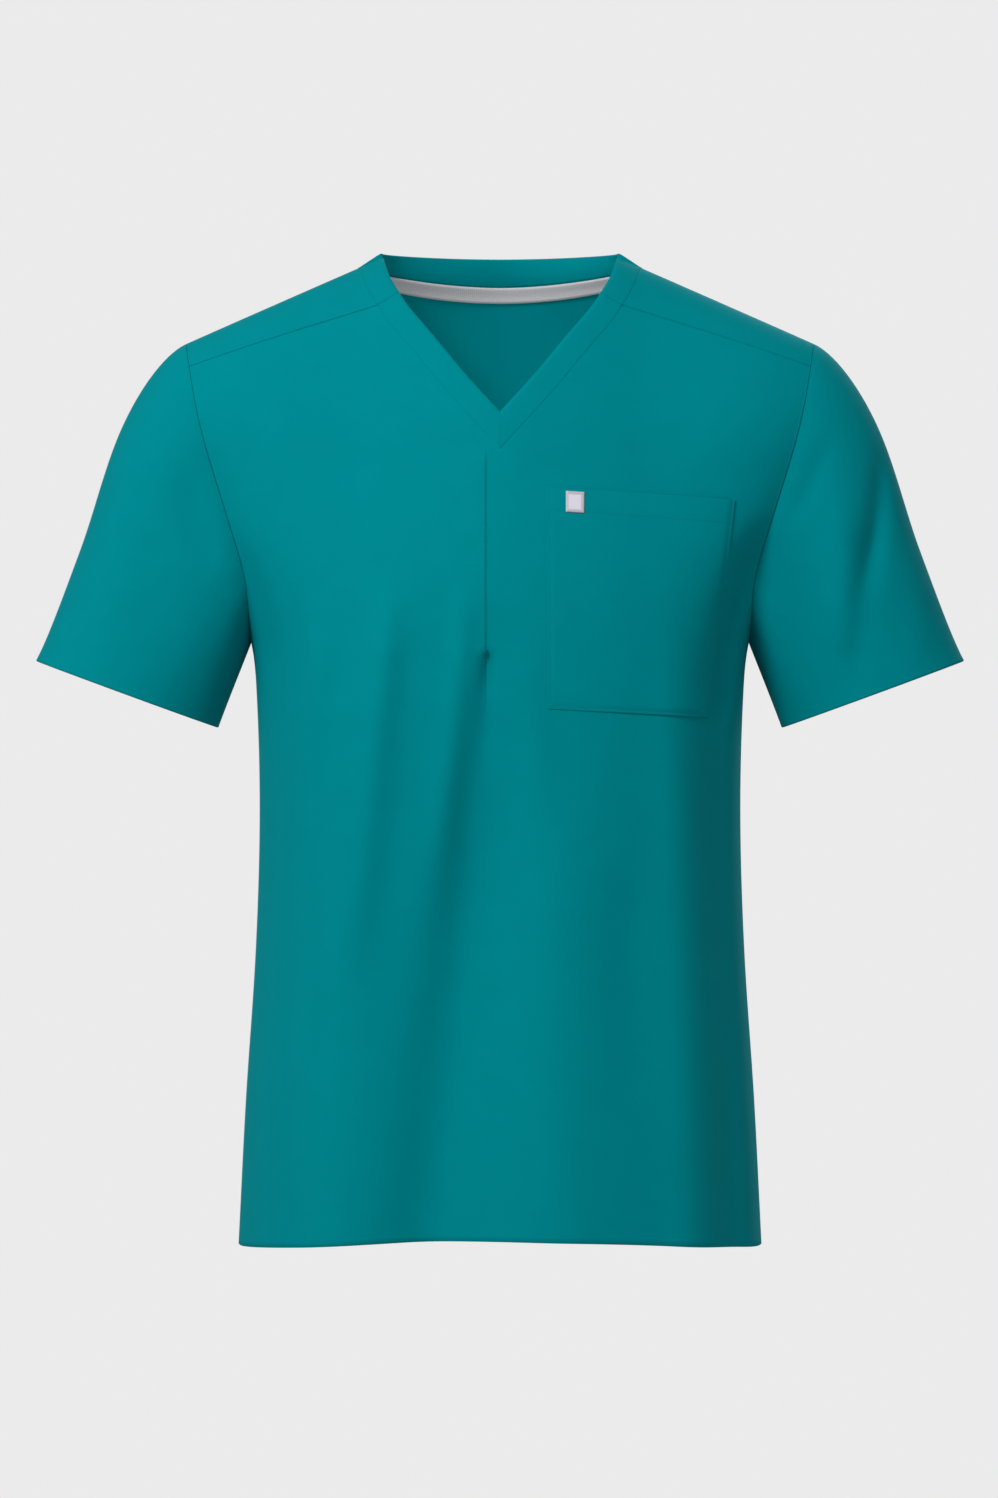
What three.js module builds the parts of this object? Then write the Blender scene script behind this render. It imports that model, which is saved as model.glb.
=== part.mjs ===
// A short-sleeved V-neck scrub top, filled out as if worn, with nobody in it.
// Millimetres. +X is the wearer's left, -Y the front and +Z up. Heights in the tables are measured
// from the high point of the shoulders, at the top of the neckband. The origin lies a little below
// that, midway between the places where the shoulders carry the garment beside the neck.
import * as THREE from "three";

const REST_BELOW_TOP = 12; // how far the origin lies below the high point of the shoulders

// Cloth and seams
const CLOTH = 2.0;
const TRIM = 1.2;
const SEAM_GAP = 0.3;
const OPPOSED_GAP = 0.35;
const SAME_SIDE = 0.2; // walls whose outsides agree this much share one seam direction
const SHARPEST = 0.25; // sine of half the sharpest corner that is opened in full

// Shoulders: a ridge that falls away from the neck, and a cap that rounds into chest and back
const RIDGE_TOP = 37;
const RIDGE_SLOPE = 0.444;
const RIDGE_ROUND = 20;
const CAP_AT_NECK = { x: 100, drop: 300, power: 1.7 };
const CAP_AT_TIP = { x: 240, drop: 220, power: 2.1 };

// Torso sections from the hem up. Above the armpit they run on into the sleeves.
const SECTIONS = [
  { height: -752, halfWidth: 198.5, front: 146, back: 138, power: 2.3 },
  { height: -644, halfWidth: 193, front: 142, back: 132, power: 2.3 },
  { height: -530, halfWidth: 185.5, front: 137, back: 124, power: 2.3 },
  { height: -430, halfWidth: 182.5, front: 134, back: 119, power: 2.35 },
  { height: -340, halfWidth: 184.5, front: 134, back: 122, power: 2.4 },
  { height: -296, halfWidth: 189, front: 133, back: 126, power: 2.4 },
  { height: -257, halfWidth: 203, front: 132, back: 127, power: 2.35 },
  { height: -207, halfWidth: 230, front: 130, back: 128, power: 2.2 },
  { height: -172, halfWidth: 253, front: 128, back: 128, power: 2.1 },
  { height: -120, halfWidth: 286, front: 127, back: 127, power: 2.1 },
  { height: -68, halfWidth: 302, front: 125, back: 125, power: 2.1 },
  { height: 40, halfWidth: 306, front: 125, back: 125, power: 2.1 },
];
const HEM = -752;
const ARMPIT = -296;
const HEM_LIFT = 10; // the chest draws the front hem up this much at the middle
const HEM_LIFT_REACH = 300;

// Armhole seam as seen from the front, from the shoulder down
const ARMHOLE = [
  { height: -296, reach: 189 },
  { height: -257, reach: 191 },
  { height: -237, reach: 195 },
  { height: -207, reach: 204 },
  { height: -178, reach: 213 },
  { height: -148, reach: 222 },
  { height: -120, reach: 229 },
  { height: -88, reach: 235 },
  { height: -60, reach: 240 },
];
const SHOULDER_TIP = 239;
const FORWARD_SEAM_OUTER = -88; // where the forward shoulder seam meets the armhole

// Neck opening as seen from the front, from the point of the V to the high point of the shoulder
const NECK_EDGE = [
  { x: 0, height: -125 },
  { x: 26, height: -96 },
  { x: 50.3, height: -66 },
  { x: 67, height: -46 },
  { x: 76, height: -32.5 },
  { x: 84, height: -18 },
  { x: 90, height: 0 },
];
const FORWARD_SEAM_NECK = 4 / 6; // share of that way at which the forward shoulder seam ends
const BAND_WIDTH = 19;
const BACK_NECK_DROP = 12;
const BACK_EDGE_DEPTH = 47;
const BACK_EDGE_DROP = 1.6;

// The tape that covers the neckband's seam inside the back
const TAPE_WIDTH = 12;
const TAPE_BELOW_SEAM = 1.0;
const TAPE_INSIDE = 0.9; // room between the tape and the back panel
const TAPE_END = 1.05; // way along the neckline at which the tape stops, just behind the ridge

// Sleeves
const CUFF_CENTRE = new THREE.Vector3(283, -4, -335);
const CUFF_TILT = THREE.MathUtils.degToRad(20.2);
const CUFF_LONG = 73.7;
const CUFF_SHORT = 59;
const SLEEVE_START_TOP = new THREE.Vector3(120, 0, -53);
const SLEEVE_START_UNDER = new THREE.Vector3(24, 0, -62);
const SLEEVE_START_SPREAD = 20;
const SLEEVE_END_TOP = 150;
const SLEEVE_END_UNDER = 78;
const SLEEVE_FLARE = 22; // the outer edge turns out by this much as it nears the cuff

// Chest pocket on the wearer's left, with a small tab on its hem
const POCKET = {
  topInner: { x: 34.2, height: -182 },
  topOuter: { x: 176, height: -191 },
  lowInner: { x: 35.7, height: -347.4 },
  lowOuter: { x: 155.8, height: -353.8 },
};
const POCKET_LIFT = 1.3;
const TAB_LIFT = 0.5;
const TAB = { left: 0.1, right: 0.2, top: 0.02, bottom: 0.12 }; // shares of the pocket

// The pleat stitched down below the V: the right side laps over the left
const PLEAT = { x: -10.6, top: -154, bottom: -306, rise: 2.2, fade: 45, lip: 1.2 };

// Large folds of the front. Each runs from one point to another; rise is out, negative is in.
const FRONT_FOLDS = [
  { topX: -10, top: -290, lowX: -68, low: -790, bow: 6, spread: 26, rise: -8 },
  { topX: -97, top: -230, lowX: -154, low: -790, bow: -6, spread: 30, rise: 7 },
  { topX: 28, top: -350, lowX: 18, low: -790, bow: 0, spread: 32, rise: 5 },
  { topX: 140, top: -350, lowX: 146, low: -790, bow: 0, spread: 17, rise: 5 },
  { topX: 168, top: -340, lowX: 172, low: -790, bow: 2, spread: 11, rise: -5 },
  { topX: 206, top: -190, lowX: 181, low: -345, bow: -4, spread: 10, rise: -5 },
  { topX: -198, top: -200, lowX: -168, low: -340, bow: 8, spread: 12, rise: -5 },
];
const BACK_FOLDS = [
  { topX: 92, top: -190, lowX: 120, low: -790, bow: 8, spread: 28, rise: 7 },
  { topX: 34, top: -330, lowX: 52, low: -790, bow: -5, spread: 26, rise: -7 },
  { topX: -24, top: -300, lowX: -14, low: -790, bow: 4, spread: 30, rise: 6 },
  { topX: -84, top: -260, lowX: -76, low: -790, bow: -8, spread: 24, rise: -6 },
  { topX: -128, top: -180, lowX: -136, low: -790, bow: 6, spread: 26, rise: 6 },
];
const SLEEVE_FOLDS = {
  left: [
    { topX: 289, top: -120, lowX: 270, low: -300, bow: 5, spread: 13, rise: -5 },
    { topX: 248, top: -150, lowX: 262, low: -320, bow: 0, spread: 16, rise: 4 },
  ],
  right: [{ topX: 262, top: -140, lowX: 254, low: -330, bow: 4, spread: 24, rise: -2.5 }],
};
const SLEEVE_FOLD_FADE = 0.6; // share of a sleeve's fold after which it dies away

// Steps of the meshes
const HALF_COLUMNS = 14;
const SKIRT_ROWS = 14;
const FRONT_CENTRE_ROWS = 5;
const FRONT_NECK_ROWS = 7;
const BACK_CENTRE_ROWS = 8;
const BACK_NECK_ROWS = 6;
const OVER_RIDGE_ROWS = 3;
const SLEEVE_RINGS = 9;
const BAND_COLUMNS = 2;
const POCKET_STEPS = 9;
const TAB_STEPS = 2;
const TAPE_STEPS = 10;

const TEAL = new THREE.Color(0x027a83);
const TAPE_GREY = new THREE.Color(0x8d9ba2);

const { clamp, lerp, smoothstep } = THREE.MathUtils;

// Reads a named column of a table at a height, as a smooth curve through its rows
function readTable(table, column, height) {
  const rising = table[table.length - 1].height > table[0].height;
  const rows = rising ? table : [...table].reverse();
  let i = 0;
  while (i < rows.length - 2 && height > rows[i + 1].height) i += 1;
  const slope = (k) => {
    const a = rows[Math.max(k - 1, 0)];
    const b = rows[Math.min(k + 1, rows.length - 1)];
    return (b[column] - a[column]) / (b.height - a.height);
  };
  const span = rows[i + 1].height - rows[i].height;
  const t = clamp((height - rows[i].height) / span, 0, 1);
  const start = rows[i][column] * (1 + 2 * t) * (1 - t) ** 2;
  const end = rows[i + 1][column] * (3 - 2 * t) * t ** 2;
  const leaving = slope(i) * span * t * (1 - t) ** 2;
  const arriving = slope(i + 1) * span * t ** 2 * (1 - t);
  return start + end + leaving - arriving;
}

function ridgeHeight(x) {
  return RIDGE_TOP - RIDGE_SLOPE * Math.hypot(x, RIDGE_ROUND);
}

// The sum of the folds at a place, in millimetres out of the cloth
function foldRise(folds, x, height, fade = 0.97) {
  let sum = 0;
  for (const fold of folds) {
    const along = (fold.top - height) / (fold.top - fold.low);
    if (along <= 0 || along >= 1) continue;
    const middle = lerp(fold.topX, fold.lowX, along) + fold.bow * Math.sin(Math.PI * along);
    const strength = smoothstep(along, 0, 0.35) * (1 - smoothstep(along, fade, 1));
    sum += fold.rise * strength * Math.exp(-(((x - middle) / fold.spread) ** 2));
  }
  return sum;
}

// The raised side of the stitched pleat, which ends in a small step
function pleatRise(x, height) {
  const beside = PLEAT.x - x;
  if (beside < -PLEAT.lip || beside > PLEAT.fade) return 0;
  const across = smoothstep(beside, -PLEAT.lip, 0) * (1 - smoothstep(beside, 0, PLEAT.fade));
  const down = smoothstep(height, PLEAT.bottom - 60, PLEAT.bottom);
  const up = 1 - smoothstep(height, PLEAT.top - 8, PLEAT.top);
  return PLEAT.rise * across * down * up;
}

// How far the torso's cloth stands in front of (negative) or behind the ridge's plane
function torsoDepth(x, height, isFront) {
  const halfWidth = readTable(SECTIONS, "halfWidth", height);
  const power = readTable(SECTIONS, "power", height);
  const depth = readTable(SECTIONS, isFront ? "front" : "back", height);
  const across = Math.max(0, 1 - (Math.abs(x) / halfWidth) ** power) ** (1 / power);
  const outward = smoothstep(Math.abs(x), CAP_AT_NECK.x, CAP_AT_TIP.x);
  const capDrop = lerp(CAP_AT_NECK.drop, CAP_AT_TIP.drop, outward);
  const capPower = lerp(CAP_AT_NECK.power, CAP_AT_TIP.power, outward);
  const drop = clamp((ridgeHeight(x) - height) / capDrop, 0, 1);
  const cap = (1 - (1 - drop) ** capPower) ** (1 / capPower);
  const inside = smoothstep(across * cap, 0.3, 0.62);
  const folds = isFront
    ? foldRise(FRONT_FOLDS, x, height) + pleatRise(x, height)
    : foldRise(BACK_FOLDS, x, height);
  return (isFront ? -1 : 1) * (depth * across * cap + folds * inside);
}

// A point of the torso from x and the wrap: the square root of the drop below the ridge,
// positive in front of the ridge and negative behind it
function shoulderPoint(x, wrap) {
  const height = ridgeHeight(x) - wrap * wrap;
  return new THREE.Vector3(x, torsoDepth(x, height, wrap >= 0), height);
}

function wrapAt(x, height, isFront) {
  return (isFront ? 1 : -1) * Math.sqrt(Math.max(0, ridgeHeight(x) - height));
}

// The armhole: way runs from 0 at the armpit, up the front to 1 at the ridge, down the back to 2
function armholeAt(way) {
  const tip = ridgeHeight(SHOULDER_TIP);
  const height = ARMPIT + (tip - ARMPIT) * (1 - Math.cos(Math.PI * way)) * 0.5;
  const x = Math.min(readTable(ARMHOLE, "reach", height), SHOULDER_TIP);
  return { x, wrap: wrapAt(x, height, way <= 1) };
}

const FORWARD_SEAM_WAY =
  Math.acos(1 - (2 * (FORWARD_SEAM_OUTER - ARMPIT)) / (ridgeHeight(SHOULDER_TIP) - ARMPIT)) / Math.PI;

// The neckline: way runs from 0 at the point of the V to 1 at the ridge and 2 at the middle of the back
const edgeCurve = new THREE.SplineCurve(NECK_EDGE.map((p) => new THREE.Vector2(p.x, p.height)));

function seamBeside(share) {
  const edge = edgeCurve.getPoint(share);
  const along = edgeCurve.getTangent(share);
  return new THREE.Vector2(edge.x + along.y * BAND_WIDTH, edge.y - along.x * BAND_WIDTH);
}

function necklineAt(way) {
  if (way <= 1) {
    const edge = edgeCurve.getPoint(way);
    const edgePoint = new THREE.Vector3(edge.x, torsoDepth(edge.x, edge.y, true), edge.y);
    const seam = seamBeside(way);
    if (way === 0) {
      const along = edgeCurve.getTangent(0);
      seam.set(0, seam.y - (seam.x * along.y) / along.x);
    }
    const wrap = way === 1 ? 0 : wrapAt(seam.x, seam.y, true);
    return { x: seam.x, wrap, edge: edgePoint };
  }
  const turn = (2 - way) * Math.PI * 0.5;
  const level = Math.cos(turn) ** 2;
  const neckPoint = seamBeside(1).x;
  const x = neckPoint * Math.sin(turn);
  const height = ridgeHeight(neckPoint) - BACK_NECK_DROP * level;
  const highPoint = NECK_EDGE[NECK_EDGE.length - 1].x;
  const edge = new THREE.Vector3(
    highPoint * Math.sin(turn),
    BACK_EDGE_DEPTH * Math.cos(turn),
    -BACK_EDGE_DROP * level,
  );
  return { x, wrap: wrapAt(x, height, false), edge };
}

const steps = (count, from, to) =>
  Array.from({ length: count + 1 }, (_, i) => lerp(from, to, i / count));

// An open sheet of points and triangles, which becomes a wall once its seams are known
class Sheet {
  constructor(name, color, thickness) {
    this.name = name;
    this.color = color;
    this.thickness = thickness;
    this.points = [];
    this.triangles = [];
    this.known = new Map();
  }

  static key(point) {
    return point.toArray().map((v) => Math.round(v * 200)).join(" ");
  }

  add(point) {
    const key = Sheet.key(point);
    if (!this.known.has(key)) {
      this.known.set(key, this.points.length);
      this.points.push(point.clone());
    }
    return this.known.get(key);
  }

  // Rows of points, seen from outside: each row runs to the right and the next row is above it
  addGrid(rows) {
    for (let i = 0; i < rows.length - 1; i += 1) {
      for (let j = 0; j < rows[i].length - 1; j += 1) {
        const corners = [rows[i][j], rows[i][j + 1], rows[i + 1][j + 1], rows[i + 1][j]];
        const [a, b, c, d] = corners.map((p) => this.add(p));
        const even = rows[i][j].distanceTo(rows[i + 1][j + 1]);
        const odd = rows[i][j + 1].distanceTo(rows[i + 1][j]);
        if (even <= odd) this.addTriangles([a, b, c], [a, c, d]);
        else this.addTriangles([a, b, d], [b, c, d]);
      }
    }
    return this;
  }

  addTriangles(...list) {
    for (const [a, b, c] of list) {
      if (a !== b && b !== c && c !== a) this.triangles.push([a, b, c]);
    }
  }

  normals() {
    const sums = this.points.map(() => new THREE.Vector3());
    for (const corners of this.triangles) {
      const [a, b, c] = corners.map((i) => this.points[i]);
      const normal = b.clone().sub(a).cross(c.clone().sub(a));
      for (const i of corners) sums[i].add(normal);
    }
    return sums.map((v) => v.normalize());
  }

  // Directed edges that belong to one triangle only
  rim() {
    const edges = new Map();
    for (const [a, b, c] of this.triangles) {
      for (const [from, to] of [[a, b], [b, c], [c, a]]) {
        if (!edges.delete(`${to} ${from}`)) edges.set(`${from} ${to}`, [from, to]);
      }
    }
    return [...edges.values()];
  }
}

// Normals that neighbours share along their seams, and the small step that parts them there
function settleSeams(sheets) {
  const meeting = new Map();
  for (const sheet of sheets) {
    sheet.normal = sheet.normals();
    sheet.edge = sheet.rim();
    for (const i of new Set(sheet.edge.flat())) {
      const key = Sheet.key(sheet.points[i]);
      if (!meeting.has(key)) meeting.set(key, []);
      meeting.get(key).push({ sheet, i, own: sheet.normal[i].clone() });
    }
  }
  for (const group of meeting.values()) {
    if (group.length < 2) continue;
    for (const member of group) {
      const sum = new THREE.Vector3();
      let opposed = false;
      for (const other of group) {
        if (member.own.dot(other.own) > SAME_SIDE) sum.add(other.own);
        else opposed = true;
      }
      member.sheet.normal[member.i] = sum.normalize();
      member.shift = opposed ? sum.clone().multiplyScalar(-OPPOSED_GAP) : new THREE.Vector3();
      member.shift.add(inward(member.sheet, member.i).multiplyScalar(SEAM_GAP * 0.5));
    }
  }
  for (const group of meeting.values()) {
    for (const { sheet, i, shift } of group) {
      if (shift) sheet.points[i].add(shift);
    }
  }
}

// The direction in a sheet's surface that leads away from its edge, longer in a sharp corner
function inward(sheet, i) {
  const into = new THREE.Vector3();
  const point = sheet.points[i];
  for (const corners of sheet.triangles) {
    if (!corners.includes(i)) continue;
    for (const k of corners) {
      if (k !== i) into.add(sheet.points[k].clone().sub(point).normalize());
    }
  }
  const ends = [
    sheet.edge.find(([, to]) => to === i)[0],
    sheet.edge.find(([from]) => from === i)[1],
  ];
  const [before, after] = ends.map((k) => sheet.points[k].clone().sub(point).normalize());
  const along = after.clone().sub(before).normalize();
  into.addScaledVector(along, -into.dot(along));
  into.addScaledVector(sheet.normal[i], -into.dot(sheet.normal[i]));
  into.normalize();
  const opening = [before, after].map((edge) => edge.clone().cross(into).length());
  return into.divideScalar(Math.max(Math.min(...opening), SHARPEST));
}

// The closed wall of a sheet: its outside, its inside one thickness in, and its rim
function wallMesh(sheet) {
  const count = sheet.points.length;
  const inner = sheet.points.map((p, i) =>
    p.clone().addScaledVector(sheet.normal[i], -sheet.thickness),
  );
  const faces = [];
  for (const [a, b, c] of sheet.triangles) {
    faces.push(a, b, c, a + count, c + count, b + count);
  }
  for (const [a, b] of sheet.edge) {
    faces.push(b, a, a + count, b, a + count, b + count);
  }
  const geometry = new THREE.BufferGeometry().setFromPoints([...sheet.points, ...inner]);
  geometry.setIndex(faces);
  geometry.computeVertexNormals();
  const material = new THREE.MeshStandardMaterial({
    color: sheet.color,
    roughness: 0.9,
    metalness: 0,
    side: THREE.DoubleSide,
  });
  const mesh = new THREE.Mesh(geometry, material);
  mesh.name = sheet.name;
  mesh.position.z = REST_BELOW_TOP;
  return mesh;
}

// Columns of a panel as shares of the way from its middle to its side, -1 to 1
function columnShares(half) {
  return steps(half * 2, -1, 1);
}

// How a share maps onto a row: spaced like a sine where the row reaches the side seam
function spread(share, bend) {
  return Math.sin(share * bend) / Math.sin(bend);
}

const SIDE_BEND = Math.PI / 2;
const UPPER_BEND = 0.95;
const BEND_ROWS = 4;

// A row of the torso below the armpit
function skirtRow(height, shares, isFront) {
  return shares.map((share) => {
    const pull = isFront ? HEM_LIFT : 0;
    const low = smoothstep(-height, -HEM - HEM_LIFT_REACH, -HEM);
    const lift = pull * low * (1 - spread(share, SIDE_BEND) ** 2);
    const x = readTable(SECTIONS, "halfWidth", height + lift) * spread(share, SIDE_BEND);
    const y = Math.abs(share) === 1 ? 0 : torsoDepth(x, height + lift, isFront);
    return new THREE.Vector3(x, y, height + lift);
  });
}

// A row of one half of the torso above the armpit, from the middle or the neckline to the armhole
function upperRow(inner, outer, shares, index, side) {
  const bend = lerp(SIDE_BEND, UPPER_BEND, smoothstep(index, 0, BEND_ROWS));
  return shares.map((share) => {
    const part = share === 1 ? 1 : spread(share, bend);
    return shoulderPoint(lerp(inner.x, outer.x, part) * side, lerp(inner.wrap, outer.wrap, part));
  });
}

// Adds the torso's skirt and chest rows, then its two halves beside the neckline
function addTorso(sheet, isFront, half, inners, outers, centreRows) {
  const shares = columnShares(half);
  const halfShares = shares.slice(half);
  const facing = (row) => (isFront ? row : [...row].reverse());
  const skirt = steps(SKIRT_ROWS, HEM, ARMPIT)
    .slice(0, -1)
    .map((height) => skirtRow(height, shares, isFront));
  const halves = [-1, 1].map((side) =>
    inners.map((inner, i) => upperRow(inner, outers[i], halfShares, i, side)),
  );
  const [right, left] = halves;
  const whole = steps(centreRows, 0, centreRows).map((i) => [
    ...[...right[i]].reverse(),
    ...left[i].slice(1),
  ]);
  sheet.addGrid([...skirt, ...whole].map(facing));
  sheet.addGrid(left.slice(centreRows).map(facing));
  sheet.addGrid(right.slice(centreRows).map((row) => facing([...row].reverse())));
  return sheet;
}

const frontNeckWays = steps(FRONT_NECK_ROWS, 0, FORWARD_SEAM_NECK);
const backNeckWays = [
  ...steps(BACK_NECK_ROWS, 2, 1),
  ...steps(OVER_RIDGE_ROWS, 1, FORWARD_SEAM_NECK).slice(1),
];
const frontArmWays = steps(FRONT_CENTRE_ROWS + FRONT_NECK_ROWS, 0, FORWARD_SEAM_WAY);
const backArmWays = [
  ...steps(BACK_CENTRE_ROWS + BACK_NECK_ROWS, 2, 1),
  ...steps(OVER_RIDGE_ROWS, 1, FORWARD_SEAM_WAY).slice(1),
];

// Places up the middle of a panel, from the armpit's level to the neckline
function centreLine(rows, neckline, isFront) {
  const top = ridgeHeight(0) - neckline.wrap ** 2;
  return steps(rows, ARMPIT, top)
    .slice(0, -1)
    .map((height) => ({ x: 0, wrap: wrapAt(0, height, isFront) }));
}

function frontPanel() {
  const necks = frontNeckWays.map(necklineAt);
  const inners = [...centreLine(FRONT_CENTRE_ROWS, necks[0], true), ...necks];
  const outers = frontArmWays.map(armholeAt);
  const sheet = new Sheet("front", TEAL, CLOTH);
  return addTorso(sheet, true, HALF_COLUMNS, inners, outers, FRONT_CENTRE_ROWS);
}

function backPanel() {
  const necks = backNeckWays.map(necklineAt);
  const inners = [...centreLine(BACK_CENTRE_ROWS, necks[0], false), ...necks];
  const outers = backArmWays.map(armholeAt);
  const sheet = new Sheet("back", TEAL, CLOTH);
  return addTorso(sheet, false, HALF_COLUMNS, inners, outers, BACK_CENTRE_ROWS);
}

// Points round an armhole from the armpit up the front and down the back, as if on the left, and
// each one's turn from the ridge
function armholeLoop(side) {
  const ways = [...frontArmWays, ...[...backArmWays].reverse().slice(1)];
  const points = ways.map((way) => {
    const { x, wrap } = armholeAt(way);
    return shoulderPoint(x * side, wrap).multiply(new THREE.Vector3(side, 1, 1));
  });
  const lengths = [0];
  for (let i = 1; i < points.length; i += 1) {
    lengths.push(lengths[i - 1] + points[i].distanceTo(points[i - 1]));
  }
  const ridge = ways.indexOf(1);
  const total = lengths[lengths.length - 1];
  return points.map((point, i) => {
    const front = i <= ridge;
    const down = front
      ? 1 - lengths[i] / lengths[ridge]
      : (lengths[i] - lengths[ridge]) / (total - lengths[ridge]);
    return { point, turn: (front ? 1 : -1) * Math.PI * down };
  });
}

// A point of a sleeve as if on the left, from one place on the armhole down to the cuff
function sleevePoint({ point, turn }, t, foldList) {
  const under = (1 - Math.cos(turn)) * 0.5;
  const out = new THREE.Vector3(Math.cos(CUFF_TILT), 0, Math.sin(CUFF_TILT));
  const down = new THREE.Vector3(Math.sin(CUFF_TILT), 0, -Math.cos(CUFF_TILT));
  const cuff = CUFF_CENTRE.clone()
    .addScaledVector(out, CUFF_LONG * Math.cos(turn))
    .add(new THREE.Vector3(0, -CUFF_SHORT * Math.sin(turn), 0));
  const leave = SLEEVE_START_TOP.clone().lerp(SLEEVE_START_UNDER, under);
  leave.y -= SLEEVE_START_SPREAD * Math.sin(turn);
  const arrive = down
    .multiplyScalar(lerp(SLEEVE_END_TOP, SLEEVE_END_UNDER, under))
    .addScaledVector(out, SLEEVE_FLARE * (1 - under));
  const made = new THREE.Vector3()
    .addScaledVector(point, (1 + 2 * t) * (1 - t) ** 2)
    .addScaledVector(leave, t * (1 - t) ** 2)
    .addScaledVector(cuff, t * t * (3 - 2 * t))
    .addScaledVector(arrive, -t * t * (1 - t));
  const facing = Math.sin(turn);
  const folds = foldRise(foldList, made.x, made.z, SLEEVE_FOLD_FADE) * smoothstep(t, 0, 0.3);
  made.y -= folds * facing;
  return made;
}

function sleeve(name, side) {
  const loop = armholeLoop(side);
  const mirror = new THREE.Vector3(side, 1, 1);
  const foldList = side > 0 ? SLEEVE_FOLDS.left : SLEEVE_FOLDS.right;
  const rows = steps(SLEEVE_RINGS, 1, 0).map((t) =>
    loop.map((place) => sleevePoint(place, t, foldList).multiply(mirror)),
  );
  const facing = side > 0 ? rows : rows.map((row) => row.reverse());
  return new Sheet(name, TEAL, CLOTH).addGrid(facing);
}

// A strip of neckband from the neckline's seam to the opening's edge
function bandStrip(ways, side) {
  return steps(BAND_COLUMNS, 0, 1).map((across) =>
    ways.map((way) => {
      const { x, wrap, edge } = necklineAt(way);
      return shoulderPoint(x, wrap).lerp(edge, across).multiply(new THREE.Vector3(side, 1, 1));
    }),
  );
}

function frontBand(name, side) {
  const rows = bandStrip(frontNeckWays, side);
  const facing = side > 0 ? rows : rows.map((row) => row.reverse());
  return new Sheet(name, TEAL, CLOTH).addGrid(facing);
}

function backBand() {
  const left = bandStrip([...backNeckWays].reverse(), 1);
  const right = bandStrip(backNeckWays, -1);
  const rows = left.map((row, i) => [...row, ...right[i].slice(1)]);
  return new Sheet("neckband_back", TEAL, CLOTH).addGrid(rows);
}

// Steps off the neckline into the back panel by a length measured on the cloth
function belowNeckline(way, length) {
  const { x, wrap } = necklineAt(way);
  const start = shoulderPoint(x, wrap);
  const turn = way >= 1 ? (2 - way) * Math.PI * 0.5 : Math.PI * 0.5 + (1 - way) * 1.2;
  let reach = length;
  for (let round = 0; round < 6 && length > 0; round += 1) {
    const tried = shoulderPoint(x + reach * Math.sin(turn), wrap - reach * 0.08 * Math.cos(turn));
    reach *= length / Math.max(tried.distanceTo(start), 1e-6);
  }
  return shoulderPoint(x + reach * Math.sin(turn), wrap - reach * 0.08 * Math.cos(turn));
}

function neckTape() {
  const ways = steps(TAPE_STEPS, TAPE_END, 2);
  const rowAt = (length, side) =>
    ways.map((way) => belowNeckline(way, length).multiply(new THREE.Vector3(side, 1, 1)));
  const rows = [TAPE_WIDTH, TAPE_WIDTH * 0.5, TAPE_BELOW_SEAM].map((length) => {
    const left = rowAt(length, 1);
    const right = rowAt(length, -1).reverse();
    return [...left, ...right.slice(1)];
  });
  const sheet = new Sheet("neck_tape", TAPE_GREY, TRIM).addGrid(rows);
  const normals = sheet.normals();
  sheet.points.forEach((p, i) => p.addScaledVector(normals[i], -CLOTH - TAPE_INSIDE));
  return sheet;
}

// A place on the pocket from shares across and down
function pocketPlace(across, down) {
  const top = { x: lerp(POCKET.topInner.x, POCKET.topOuter.x, across) };
  top.height = lerp(POCKET.topInner.height, POCKET.topOuter.height, across);
  const low = { x: lerp(POCKET.lowInner.x, POCKET.lowOuter.x, across) };
  low.height = lerp(POCKET.lowInner.height, POCKET.lowOuter.height, across);
  return { x: lerp(top.x, low.x, down), height: lerp(top.height, low.height, down) };
}

// The outward normal of the front panel at a place
function frontNormal(x, height) {
  const step = 2;
  const slopeX = (torsoDepth(x + step, height, true) - torsoDepth(x - step, height, true)) / (2 * step);
  const slopeZ = (torsoDepth(x, height + step, true) - torsoDepth(x, height - step, true)) / (2 * step);
  return new THREE.Vector3(slopeX, -1, slopeZ).normalize();
}

// A patch over part of the pocket, its inside standing a given lift off the front panel
function pocketPatch(name, color, area, count, lift, thickness) {
  const rows = steps(count, area.bottom, area.top).map((down) =>
    steps(count, area.left, area.right).map((across) => {
      const { x, height } = pocketPlace(across, down);
      const point = new THREE.Vector3(x, torsoDepth(x, height, true), height);
      return point.addScaledVector(frontNormal(x, height), lift + thickness);
    }),
  );
  return new Sheet(name, color, thickness).addGrid(rows);
}

const wholePocket = { left: 0, right: 1, top: 0, bottom: 1 };
const sheets = [
  frontPanel(),
  backPanel(),
  sleeve("sleeve_left", 1),
  sleeve("sleeve_right", -1),
  frontBand("neckband_left", 1),
  frontBand("neckband_right", -1),
  backBand(),
];
settleSeams(sheets);

const lying = [
  neckTape(),
  pocketPatch("chest_pocket", TEAL, wholePocket, POCKET_STEPS, POCKET_LIFT, CLOTH),
  pocketPatch("pocket_label", TAPE_GREY, TAB, TAB_STEPS, POCKET_LIFT + CLOTH + TAB_LIFT, TRIM),
];
for (const sheet of lying) {
  sheet.normal = sheet.normals();
  sheet.edge = sheet.rim();
}

const top = new THREE.Group();
for (const sheet of [...sheets, ...lying]) top.add(wallMesh(sheet));

export default top;
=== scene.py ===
"""The looks of a short-sleeved V-neck scrub top, filled out as if worn, with nobody in it.

Metres, in the frame's axes: +X is the wearer's left, -Y the front and +Z up. Heights in the tables
are measured from the high point of the shoulders, at the top of the neckband, as the cut is.
"""

import math

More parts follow.
